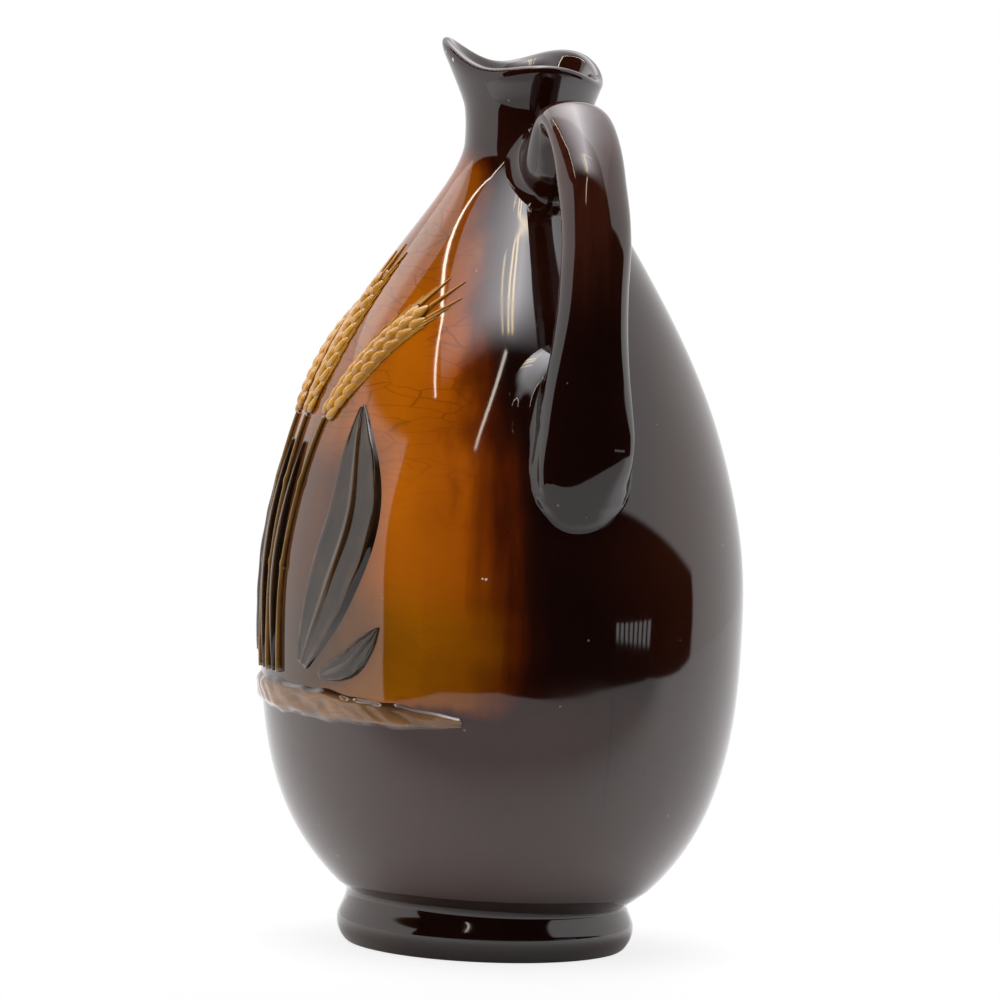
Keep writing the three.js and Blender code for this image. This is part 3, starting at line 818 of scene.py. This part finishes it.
def ramp(value, stops, smoothly=True):
    node = put(value.tree, "ShaderNodeValToRGB", {0: value})
    node.color_ramp.interpolation = "EASE" if smoothly else "LINEAR"
    while len(node.color_ramp.elements) < len(stops):
        node.color_ramp.elements.new(0.5)
    for element, (place, colour) in zip(node.color_ramp.elements, stops):
        element.position = place
        element.color = (*colour, 1) if isinstance(colour, tuple) else (colour, colour, colour, 1)
    return Value(value.tree, node.outputs[0])


def noise(where, scale, detail=2.0, stretch=None, output=0):
    if stretch:
        where = get(where.tree, "ShaderNodeMapping", {"Vector": where, "Scale": stretch})
    return get(where.tree, "ShaderNodeTexNoise", {"Vector": where, "Scale": scale, "Detail": detail}, output)


def vector_math(operation, a, b=(0, 0, 0)):
    output = "Vector" if operation in ("ADD", "MULTIPLY") else "Value"
    return get(a.tree, "ShaderNodeVectorMath", {0: a, 1: b}, output, operation=operation)


def blend(tree, share, a, b, mode="MIX"):
    return get(tree, "ShaderNodeMix", {0: share, 6: a, 7: b}, 2, data_type="RGBA", blend_type=mode)


def grey(level):
    return get(level.tree, "ShaderNodeCombineColor", {0: level, 1: level, 2: level})


print("shader helpers ready")

# %% Crazing
CRAZE_BEND = (0.008, 0.008, 0.008)
CRAZE_STRETCH = (0.75, 0.75, 3.2)
# How much finer each net of cracks is, the scale of its patches and how rare they are
CRAZE_NETS = [(1.0, 40.0, 0.38), (1.7, 55.0, 0.5)]
crazing, craze_in = shader_group("crazing", {"Cells": 95.0, "Line": 0.02}, {"Lines": "Float"})
where = craze_in["Where"]
bent = vector_math("ADD", where, vector_math("MULTIPLY", noise(where, 60.0, output=1), CRAZE_BEND))
bent = get(crazing, "ShaderNodeMapping", {"Vector": bent, "Scale": CRAZE_STRETCH})
lines = 0.0
for finer, patch_scale, low in CRAZE_NETS:
    cells = get(crazing, "ShaderNodeTexVoronoi", {"Vector": bent, "Scale": craze_in["Cells"] * finer}, "Distance",
                feature="DISTANCE_TO_EDGE")
    near_line = (cells / (craze_in["Line"] * finer)).clamped()
    broken = noise(where, patch_scale).span(low, low + 0.15)
    lines = ((1.0 - near_line) * broken).larger(lines)
put(crazing, "NodeGroupOutput", {"Lines": lines})
print("crazing nodes:", len(crazing.nodes))

# %% Skin of the glaze: smears, a faint orange peel and pinholes
PIT_SCALE, PIT_SIZE, PIT_RARITY = 150.0, 0.045, 0.74
glaze_skin, skin_in = shader_group("glaze_skin", {"Dull": 0.05},
                                   {"Roughness": "Float", "Height": "Float", "Specks": "Float"})
where = skin_in["Where"]
smears = noise(where, 38.0, 4.0).span(0.5, 0.75, 0.0, 0.05)
spots = outputs_of(glaze_skin, "ShaderNodeTexVoronoi", {"Vector": where, "Scale": PIT_SCALE}, feature="F1")
chosen = get(glaze_skin, "ShaderNodeSeparateColor", {0: spots["Color"]}).math("GREATER_THAN", PIT_RARITY)
pits = spots["Distance"].math("LESS_THAN", PIT_SIZE) * chosen
put(glaze_skin, "NodeGroupOutput", {"Roughness": skin_in["Dull"] + smears,
                                    "Height": noise(where, 130.0) * 0.35 - pits, "Specks": pits})
print("glaze skin nodes:", len(glaze_skin.nodes))

# %% [markdown]
# ### Amber into treacle
# The glaze is thin on the front and runs thick and dark round the sides, in soft streaks. So a share of amber is
# worked out first, from how far round from the front a point lies, with clouds, brush marks and streaks to break
# the edge. The colours then follow from that share and from the height, in metres.

# %% Where the amber lies
POT_HEIGHT = 0.22
# Share of that height, against how far round from the front the amber ends
EDGE_STOPS = [(0.0, 0.16), (0.325, 0.17), (0.355, 0.13), (0.38, 0.15), (0.41, 0.19), (0.54, 0.23), (0.6, 0.3),
              (0.68, 0.35), (0.78, 0.4), (0.84, 0.5), (0.92, 0.75)]
flow, flow_in = shader_group("amber_flow", {}, {"Colour": "Color", "Amber": "Float"})
where = flow_in["Where"]
x, y, z = where.parts()
out = (x * x + y * y).math("SQRT")
front = y * -1.0 / out.larger(0.001)
cloud = noise(where, 26.0, 3.0) - 0.5
streak = noise(where, 210.0, 3.0, (1.0, 1.0, 0.05)) - 0.5
brush = noise(where, 75.0, 2.0, (1.0, 1.0, 0.12)) - 0.5
past = front - ramp(z / POT_HEIGHT, EDGE_STOPS) + cloud * 0.16 + streak * 0.17 + brush * 0.24
above_ground = (z + noise(where, 55.0, 3.0) * 0.012).span(0.0655, 0.073)
below_neck = (z + cloud * 0.02).span(0.205, 0.19)
amber = (past * 1.15 + 0.05).clamped() * (above_ground * below_neck)
print("amber nodes:", len(flow.nodes))

# %% Colours of the flow
TREACLE = (0.0085, 0.0019, 0.001)
RED_TREACLE = (0.03, 0.0062, 0.0026)
PULLED_TREACLE = (0.046, 0.011, 0.0055)
OLIVE, SHADE, SEAM = (0.78, 0.98, 0.6), (0.03, 0.012, 0.006), (0.002, 0.0008, 0.0005)
AMBER_STOPS = [(0.0, TREACLE), (0.09, (0.02, 0.0035, 0.001)), (0.17, (0.058, 0.008, 0.0008)),
               (0.25, (0.14, 0.025, 0.0008)), (0.36, (0.33, 0.073, 0.0008)), (0.6, (0.4, 0.1, 0.0012)),
               (0.8, (0.3, 0.08, 0.003)), (1.0, (0.16, 0.05, 0.008))]
SEAM_BACK = 0.009
colour = ramp(amber, AMBER_STOPS, False)
# The glaze is deeper towards the neck, lighter low on the front, and greener just above the ground
thick = z.span(0.15, 0.178, 1.0, 0.6) * z.span(0.072, 0.094, 0.95, 1.2)
tone = noise(where, 18.0, 4.0).span(0.3, 0.7, 0.82, 1.12) * (thick * z.span(0.11, 0.135, 1.0, 0.8))
colour = blend(flow, 1.0, colour, grey(tone), "MULTIPLY")
colour = blend(flow, z.span(0.098, 0.08) * amber.span(0.15, 0.3), colour, OLIVE, "MULTIPLY")
# It is redder at the back, below the belly and at the neck. At the back, the right side seen from the camera, that
# red is painted side light from the right
painted_side_light = (y + cloud * 0.03).span(0.0, 0.035)
lower = z.span(0.075, 0.06) * z.span(0.012, 0.02)
redder_and_painted_light = painted_side_light.larger(lower).larger(z.span(0.15, 0.19)) * amber.span(0.12, 0.02)
colour = blend(flow, redder_and_painted_light * tone, colour, RED_TREACLE)
pulled = x.span(0.026, 0.04) * z.span(0.15, 0.18)
colour = blend(flow, pulled * streak.span(-0.2, 0.2, 0.3, 1.0), colour, PULLED_TREACLE)
# It pools dark behind the relief, and a fine seam runs down under the handle
shade = (front + cloud * 0.3).span(0.74, 0.92) * (z + cloud * 0.03).span(0.136, 0.118)
colour = blend(flow, shade * 0.75, colour, SHADE)
from_seam = (y + (noise(where, 45.0) - 0.5) * 0.002 - SEAM_BACK).math("ABSOLUTE")
seam = from_seam.span(0.0005, 0.0001) * x.span(0.02, 0.03)
seam = seam * (z.span(0.03, 0.045) * z.span(0.074, 0.066))
put(flow, "NodeGroupOutput", {"Colour": blend(flow, seam, colour, SEAM), "Amber": amber})
print("flow nodes:", len(flow.nodes))

# %% [markdown]
# ### Glaze over the pot and the handle
# Each material takes what the groups give and feeds its own Principled shader. The pot's material adds crazing
# where the amber is thin, and a few small chips that show the pale body.

# %% Pot glaze
GLAZE_IOR, BUMP, BUMP_DEPTH = 1.7, 0.05, 0.0004
SPECK, CRACK, BARE_CLAY = (0.24, 0.17, 0.12), (0.03, 0.008, 0.002), (0.72, 0.68, 0.62)
# Places where the glaze has chipped off the spout, and one scratch, with their sizes in metres
CHIPS = [((-0.0034, -0.0194, 0.2195), 0.0004), ((0.0007, -0.0189, 0.2176), 0.0006),
         ((0.0541, -0.0228, 0.0951), 0.0004), ((0.0538, -0.0236, 0.0952), 0.0003)]


def new_glaze(name):
    material = bpy.data.materials.new(name)
    material.use_nodes = True
    tree = material.node_tree
    tree.nodes["Principled BSDF"].inputs["IOR"].default_value = GLAZE_IOR
    return material, tree, get(tree, "ShaderNodeTexCoord", output="Object")


def group_in(tree, group, links):
    return outputs_of(tree, "ShaderNodeGroup", links, node_tree=group)


def finish_glaze(tree, where, colour, dull):
    coat = group_in(tree, glaze_skin, {"Where": where, "Dull": dull})
    bump = get(tree, "ShaderNodeBump", {"Strength": BUMP, "Distance": BUMP_DEPTH, "Height": coat["Height"]})
    shader = tree.nodes["Principled BSDF"]
    connect(tree, shader.inputs["Base Color"], blend(tree, coat["Specks"] * 0.7, colour, SPECK))
    connect(tree, shader.inputs["Roughness"], coat["Roughness"])
    connect(tree, shader.inputs["Normal"], bump)


pot_glaze, tree, where = new_glaze("treacle_glaze")
flowing = group_in(tree, flow, {"Where": where})
lines = group_in(tree, crazing, {"Where": where, "Cells": 95.0, "Line": 0.05})["Lines"]
lines = lines * flowing["Amber"].span(0.15, 0.4, 0.0, 0.45)
_, _, height = where.parts()
colour = blend(tree, lines * height.span(0.105, 0.145, 0.15, 1.0), flowing["Colour"], CRACK)
chips = 0.0
for place, size in CHIPS:
    apart = vector_math("DISTANCE", where, place) + noise(where, 1500.0) * (size * 0.8)
    chips = apart.span(size * 1.4, size).larger(chips)
finish_glaze(tree, where, blend(tree, chips, colour, BARE_CLAY), 0.045)
for piece in (vessel, handle):
    piece.data.materials.clear()
    piece.data.materials.append(pot_glaze)
print("pot glaze nodes:", len(tree.nodes))

# %% [markdown]
# ## Coloured slips
# The sprigs carry coloured slips under the same glaze: ochre ears, dark leaves, a fawn bank. The "rise" of each
# point mixes two tones, as glaze that has drained off a crest shows the slip and glaze that has pooled hides it.

# %% Slip materials
SLIP_CRACK = (0.015, 0.006, 0.002)
# Name, colours where glaze pools, on the crests and in clouds, the rise where it starts and ends to thin, dullness
SLIPS = {
    "ear": ("ochre_ear_slip", (0.1, 0.028, 0.004), (0.5, 0.24, 0.03), (0.36, 0.14, 0.012), 0.25, 0.8, 0.05),
    "leaf": ("dark_leaf_slip", (0.01, 0.0045, 0.0025), (0.075, 0.034, 0.011), (0.03, 0.017, 0.007), 0.55, 1.1, 0.05),
    "stalk": ("stalk_slip", (0.03, 0.01, 0.003), (0.2, 0.1, 0.02), (0.1, 0.04, 0.008), 0.3, 0.95, 0.05),
    "ground": ("fawn_ground_slip", (0.035, 0.013, 0.005), (0.24, 0.12, 0.05), (0.1, 0.045, 0.016), 0.35, 1.0, 0.07),
}


def slip_glaze(name, pooled, crest, cloud, low, high, dull):
    material, tree, where = new_glaze(name)
    rise = get(tree, "ShaderNodeAttribute", output="Fac", attribute_name="rise")
    mottle = (noise(where, 120.0, 4.0) - 0.5) * 0.5
    colour = blend(tree, (rise + mottle).span(low, high), pooled, crest)
    colour = blend(tree, noise(where, 60.0, 3.0).span(0.45, 0.7) * 0.6, colour, cloud)
    lines = group_in(tree, crazing, {"Where": where, "Cells": 110.0, "Line": 0.02})["Lines"]
    finish_glaze(tree, where, blend(tree, lines * 0.3, colour, SLIP_CRACK), dull)
    return material


slips = {kind: slip_glaze(*look) for kind, look in SLIPS.items()}
for node, piece in relief.items():
    piece.data.materials.append(slips.get(node.split("_")[0], slips["leaf"]))
print("slips:", [slip.name for slip in slips.values()])

# %% [markdown]
# ## Growing the ears
# Each ear starts as a seed mesh: loose points for the grains and short chains of edges for the bristles, with the
# attributes that the tree reads. The grown mesh is kept, and joined to a low core that fills the gaps.

# %% Grain places along an ear
GRAIN_PAIRS = 9
GRAIN_LENGTH, GRAIN_WIDTH, GRAIN_HEIGHT = 5.6, 2.9, 2.0
ROW_APART, MIDDLE_AHEAD, ROW_SPLAY = 2.15, 1.6, 0.34
MIDDLE_LIFT, SIDE_LIFT = 0.75, 0.35


def ear_line(hand):
    foot = hand * STALK_SPREAD * 1.6
    bend = hand * 0.45 * EAR_LENGTH
    top = EAR_FOOT + EAR_LENGTH * (0.86 if hand else 1.08)
    return line_through((foot, EAR_FOOT), (foot + bend * 0.42, (EAR_FOOT + top) / 2), (foot + bend, top))


def ear_places(hand):
    """Grains as place, direction, size and stand-off on the unrolled front, and bristles as tip, run and length."""
    line = ear_line(hand)
    grains, bristles = [], []
    for i in range(GRAIN_PAIRS):
        share = 0.07 + 0.8 * i / (GRAIN_PAIRS - 1)
        middle, ahead = resample(line, np.array([share, min(share + 0.03, 1)]))
        along = (ahead - middle) / np.linalg.norm(ahead - middle)
        across = np.array([along[1], -along[0]])
        size = 0.72 + 0.36 * math.sin(math.pi * (0.15 + 0.75 * share))
        for row in (-1, 0, 1):
            place = middle + across * row * ROW_APART * size + along * (MIDDLE_AHEAD if row == 0 else 0)
            aim = along + across * row * ROW_SPLAY
            aim = aim / np.linalg.norm(aim)
            grains.append((place, aim, size, MIDDLE_LIFT if row == 0 else SIDE_LIFT))
            tip = place + aim * GRAIN_LENGTH * 0.42 * size
            bristles.append((tip, aim * 0.6 + along * 0.4, 10.0 - 3.0 * share))
    return grains, bristles


print("grains on an ear:", len(ear_places(1)[0]))

# %% Seed of an ear
BRISTLE_STEPS, BRISTLE_OFF, BRISTLE_DIP, BRISTLE_TAPER = 6, 0.42, 0.05, 0.045


def ear_seed(hand):
    grains, bristles = ear_places(hand)
    points, edges, is_grain, facing, aims, sizes = [], [], [], [], [], []
    for place, aim, size, lift in grains:
        here = on_vessel(FRONT_SIDE, *place, lift)
        ahead = on_vessel(FRONT_SIDE, *(place + aim * 0.5), lift) - here
        points.append(here)
        facing.append(outward_on_vessel(FRONT_SIDE, *place))
        aims.append(ahead / np.linalg.norm(ahead))
        is_grain.append(True)
        sizes.append(size)
    for tip, aim, length in bristles:
        for step in range(BRISTLE_STEPS + 1):
            place = tip + aim * length * step / BRISTLE_STEPS
            if step:
                edges.append((len(points) - 1, len(points)))
            points.append(on_vessel(FRONT_SIDE, *place, BRISTLE_OFF - BRISTLE_DIP * step))
            facing.append((0, 0, 1))
            aims.append((0, 1, 0))
            is_grain.append(False)
            sizes.append((BRISTLE_OFF - BRISTLE_TAPER * step) * MM)
    mesh = bpy.data.meshes.new("ear_seed")
    mesh.from_pydata((np.array(points) * MM).tolist(), edges, [])
    for name, kind, field, values in (("grain", "BOOLEAN", "value", is_grain), ("size", "FLOAT", "value", sizes),
                                      ("facing", "FLOAT_VECTOR", "vector", np.array(facing).ravel()),
                                      ("along", "FLOAT_VECTOR", "vector", np.array(aims).ravel())):
        mesh.attributes.new(name, kind, "POINT").data.foreach_set(field, values)
    return mesh


print("seed points:", len(ear_seed(1).vertices))

# %% Make the ears
def core_size(share):
    return 2.6 * np.sin(math.pi * (0.08 + 0.86 * share)) ** 0.6, 0.5 + 0 * share


def ear(name, hand):
    seed = in_scene("ear_seed", ear_seed(hand))
    grow = seed.modifiers.new("barley_ear", "NODES")
    grow.node_group = ear_tree
    for side, size in (("Length", GRAIN_LENGTH), ("Width", GRAIN_WIDTH), ("Height", GRAIN_HEIGHT)):
        grow[ear_socket["Grain " + side]] = size * MM
    grow[ear_socket["Glaze"]] = slips["ear"]
    graph = bpy.context.evaluated_depsgraph_get()
    grown = in_scene(name, bpy.data.meshes.new_from_object(seed.evaluated_get(graph)))
    bpy.data.objects.remove(seed)
    core = ridge("ear_core", ear_line(hand), core_size, 50, 12, 0.9)
    core.data.materials.append(slips["ear"])
    return join([grown, core])


for side, hand in HANDS.items():
    relief[f"ear_{side}"] = ear(f"barley_ear_{side}", hand)
    print("ear", side, "faces:", len(relief[f"ear_{side}"].data.polygons))

# %% [markdown]
# ## Studio
# The pot stands on a small white sheet in a dim room, with a white wall behind it and soft panels above. A gloss
# pot shows all of that: the sheet is the grey in its lower half, the wall is the pale band down each side, and
# the dim room in front is what leaves the middle dark. So the light is set out as it is in the room, in the
# camera's own terms: to its right, towards it, and up.

# %% Camera
CAMERA_AZIMUTH, CAMERA_ELEVATION, CAMERA_ROLL = math.radians(71), math.radians(4), math.radians(2.4)
CAMERA_DISTANCE, FRAME_WIDTH = 1.5, 0.2465
VIEW_HEIGHT, VIEW_SIDE = 0.110, -0.00145
TO_RIGHT = np.array([math.cos(CAMERA_AZIMUTH), math.sin(CAMERA_AZIMUTH), 0.0])
TOWARDS = np.array([math.sin(CAMERA_AZIMUTH), -math.cos(CAMERA_AZIMUTH), 0.0])


def room(right, towards, up):
    return TO_RIGHT * right + TOWARDS * towards + np.array([0, 0, up])


def stand(x, y, z, place):
    """The matrix of an object at a place, with its own axes along x, y and z."""
    matrix = np.eye(4)
    matrix[:3, :3] = np.stack([x, y, z], -1)
    matrix[:3, 3] = place
    return Matrix(matrix.tolist())


back = TOWARDS * math.cos(CAMERA_ELEVATION) + np.array([0, 0, math.sin(CAMERA_ELEVATION)])
upright = np.cross(back, TO_RIGHT)
axis_x = TO_RIGHT * math.cos(CAMERA_ROLL) + upright * math.sin(CAMERA_ROLL)
axis_y = upright * math.cos(CAMERA_ROLL) - TO_RIGHT * math.sin(CAMERA_ROLL)
spot = room(VIEW_SIDE, 0, VIEW_HEIGHT) + back * CAMERA_DISTANCE
lens = bpy.data.cameras.new("camera")
lens.sensor_width = 36.0
lens.lens = lens.sensor_width * CAMERA_DISTANCE / FRAME_WIDTH
camera = in_scene("camera", lens)
camera.matrix_world = stand(axis_x, axis_y, back, spot)
bpy.context.scene.camera = camera
print("camera at", spot.round(3), "lens %.0f mm" % lens.lens)

# %% [markdown]
# ### Sheet and room
# The camera sees plain white round the pot, whatever the light does, because Is Camera Ray picks white there. The
# light itself comes from a paper sheet, from white walls that the world draws as masks on the direction, and from
# lamps.

# %% White sheet under the pot
SHEET = [(-0.27, -1.6), (-0.29, -0.06), (-0.28, 0.15), (-0.17, 0.335), (0.0, 0.42), (0.17, 0.375),
         (0.33, 0.31), (0.58, 0.17), (0.75, -0.12), (0.75, -1.6)]
# Distances towards the camera over which the pot's painted shadow on the sheet deepens
PAINTED_SHADOW_RUN = (0.03, 0.16)


def cleared(owner):
    owner.use_nodes = True
    owner.node_tree.nodes.clear()
    return owner.node_tree


sheet = new_piece("white_sheet", [room(r, t, 0) / MM for r, t in SHEET], [tuple(range(len(SHEET)))])
paper = bpy.data.materials.new("white_paper")
tree = cleared(paper)
rays = outputs_of(tree, "ShaderNodeLightPath")
where = get(tree, "ShaderNodeTexCoord", output="Object")
away = vector_math("LENGTH", where)
nearer = vector_math("DOT_PRODUCT", where, tuple(TOWARDS))
seen_white = rays["Is Camera Ray"] * away.span(0.04, 0.16, 0.82, 1.0)
shiny = rays["Is Glossy Ray"].larger(rays["Is Transmission Ray"])
# In the glaze the sheet's white glow is painted darker towards the camera and dark round the foot: a painted shadow
# of the pot
shown = seen_white.larger(shiny * (nearer.span(*PAINTED_SHADOW_RUN, 0.6, 0.2) * away.span(0.037, 0.07)))
# The paper's grey has a faint grain, and is painted darker towards the camera: a painted shadow of the pot
grain = noise(where, 40.0).span(0.3, 0.7, 0.88, 0.92) * nearer.span(*PAINTED_SHADOW_RUN, 1.0, 0.36)
plain = get(tree, "ShaderNodeBsdfDiffuse", {"Color": grey(grain)})
white = get(tree, "ShaderNodeEmission", {"Strength": 1.0})
put(tree, "ShaderNodeOutputMaterial", {"Surface": get(tree, "ShaderNodeMixShader", {0: shown, 1: plain, 2: white})})
sheet.data.materials.append(paper)
print("sheet corners:", len(SHEET))

# %% Room: white walls behind and beside the pot, dim in front
DIM = 0.008
world = bpy.data.worlds.new("studio")
bpy.context.scene.world = world
tree = cleared(world)
rays = outputs_of(tree, "ShaderNodeLightPath")
aim = get(tree, "ShaderNodeTexCoord", output="Generated")


def compass(degrees, up):
    """A direction: an angle round from the camera, right is plus and left is minus, and an angle up."""
    turn, lift = math.radians(degrees), math.radians(up)
    return room(math.sin(turn) * math.cos(lift), math.cos(turn) * math.cos(lift), math.sin(lift))


def past_corner(degrees, soft):
    """White past a corner of the room."""
    side = compass(degrees + math.copysign(90, degrees), 0)
    return vector_math("DOT_PRODUCT", aim, tuple(side)).span(0.0, soft)


_, _, upward = aim.parts()
left_wall = past_corner(-57, 0.02) * upward.span(0.5, 0.44)
sloping = np.cross(compass(60, 15), compass(101, 1))
above_slope = vector_math("DOT_PRODUCT", aim, tuple(sloping / np.linalg.norm(sloping)))
right_wall = past_corner(54, 0.08) * above_slope.span(0.0, 0.05)
back_wall = past_corner(101, 0.05) * past_corner(-112, 0.2)
walls = left_wall.larger(right_wall).larger(back_wall).span(0.0, 1.0, DIM, 1.0)
level = walls.larger(rays["Is Camera Ray"].larger(rays["Is Transmission Ray"]))
sky = get(tree, "ShaderNodeBackground", {"Color": (1, 1, 1, 1), "Strength": level})
put(tree, "ShaderNodeOutputWorld", {"Surface": sky})
print("world nodes:", len(tree.nodes))

# %% [markdown]
# ### Lamps
# A wide panel overhead, brightest along its middle, gives the soft sheen. Narrow strips make the bright lines in
# the glaze, such as the edges of a ceiling frame. A row of small lamps low at the right stands for a blind. One
# fill lamp lights without being mirrored.

# %% Helpers for lamps
CEILING = 1.6


def lamp_facing(name, place, aim, size, brightness, turn=0.0):
    light = bpy.data.lights.new(name, "AREA")
    light.shape = "RECTANGLE"
    light.size, light.size_y = size
    light.energy = brightness * math.pi * size[0] * size[1]
    z = (place - aim) / np.linalg.norm(place - aim)
    x = TO_RIGHT - z * (TO_RIGHT @ z)
    x = x / np.linalg.norm(x)
    lamp = in_scene(name, light)
    lamp.matrix_world = stand(x, np.cross(z, x), z, place) @ Matrix.Rotation(turn, 4, "Z")
    return lamp


def ceiling_lamp(name, start, stop, width, brightness, height=CEILING):
    start, stop = np.array(start), np.array(stop)
    middle = (start + stop) / 2
    length = float(np.linalg.norm(stop - start))
    return lamp_facing(name, room(*middle, height), room(*middle, 0), (width, length), brightness,
                       math.atan2(*(stop - start)))


print("lamp helpers ready")

# %% Panels and strips on the ceiling, fill and blind
PANEL_MIDDLE, PANEL_FADE, PANEL_STEEPER = 0.46, 3.6, -3.0
COOL, WARM, GOLD = (0.965, 0.955, 1.0), (1.0, 0.92, 0.78), (1.0, 0.74, 0.36)
# Start and stop as right and towards, width, brightness and colour
STRIPS = {
    "edge_strip": ((-1.42, -0.7), (-1.17, 0.43), 0.028, 15.0, WARM),
    "edge_strip_near": ((-1.17, 0.43), (-1.3, 1.2), 0.028, 15.0, WARM),
    "frame_strip": ((-0.075, 0.611), (0.012, 1.04), 0.028, 8.5, GOLD),
    "frame_strip_inner": ((-0.14, 0.611), (-0.055, 1.04), 0.028, 8.5, GOLD),
    "frame_strip_outer": ((-0.27, 0.6), (-0.15, 1.035), 0.026, 5.5, GOLD),
    "frame_end": ((-0.15, 0.611), (0.34, 0.592), 0.008, 9.5, GOLD),
    "far_strip": ((-0.08, 1.17), (-0.66, 2.28), 0.05, 7.0, WARM),
}
BLIND_SLATS, BLIND_START, BLIND_STEP, BLIND_AWAY, BLIND_HEIGHT = 8, 56, 2.4, 0.7, 0.03

over = ceiling_lamp("over_panel", (0.14, -2.0), (0.14, 1.7), 2.62, 6.2)
over.data.color = COOL
over.data.use_nodes = True
tree = over.data.node_tree
across, along_room, _ = get(tree, "ShaderNodeNewGeometry", output="Parametric").parts()
steepness = across.math("GREATER_THAN", PANEL_MIDDLE) * PANEL_STEEPER - PANEL_FADE
fade = ((across - PANEL_MIDDLE).math("ABSOLUTE") * steepness).math("EXPONENT")
ends = along_room.span(0.13, 0.25) * along_room.span(1.0, 0.5, 0.2, 1.0)
connect(tree, tree.nodes["Emission"].inputs["Strength"], fade * ends)
ceiling_lamp("left_panel", (-2.16, -0.78), (-1.32, -2.37), 2.2, 0.85)
for name, (start, stop, width, brightness, colour) in STRIPS.items():
    ceiling_lamp(name, start, stop, width, brightness, CEILING - 0.02).data.color = colour
fill = lamp_facing("fill", room(-1.1, 1.3, 0.6), room(0, 0, 0.11), (1.2, 1.2), 2.2)
fill.visible_glossy = False
for i in range(BLIND_SLATS):
    turn = math.radians(BLIND_START + BLIND_STEP * i)
    slat = room(BLIND_AWAY * math.sin(turn), BLIND_AWAY * math.cos(turn), BLIND_HEIGHT)
    lamp_facing(f"blind_{i}", slat, room(0, 0, BLIND_HEIGHT), (0.018, 0.024), 1.2)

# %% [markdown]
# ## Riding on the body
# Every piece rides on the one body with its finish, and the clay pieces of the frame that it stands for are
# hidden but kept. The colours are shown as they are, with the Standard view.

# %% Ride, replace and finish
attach(vessel, "root")
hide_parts("belly_front_half", "belly_back_half", "neck_and_mouth", "foot_ring", "base_bat")
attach(handle, "root")
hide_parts("handle_strap", "upper_root_coil", "lower_root_coil")
for node, piece in relief.items():
    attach(piece, "root")
    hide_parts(node)
print("pieces handed over:", 2 + len(relief))

bpy.context.scene.view_settings.view_transform = "Standard"
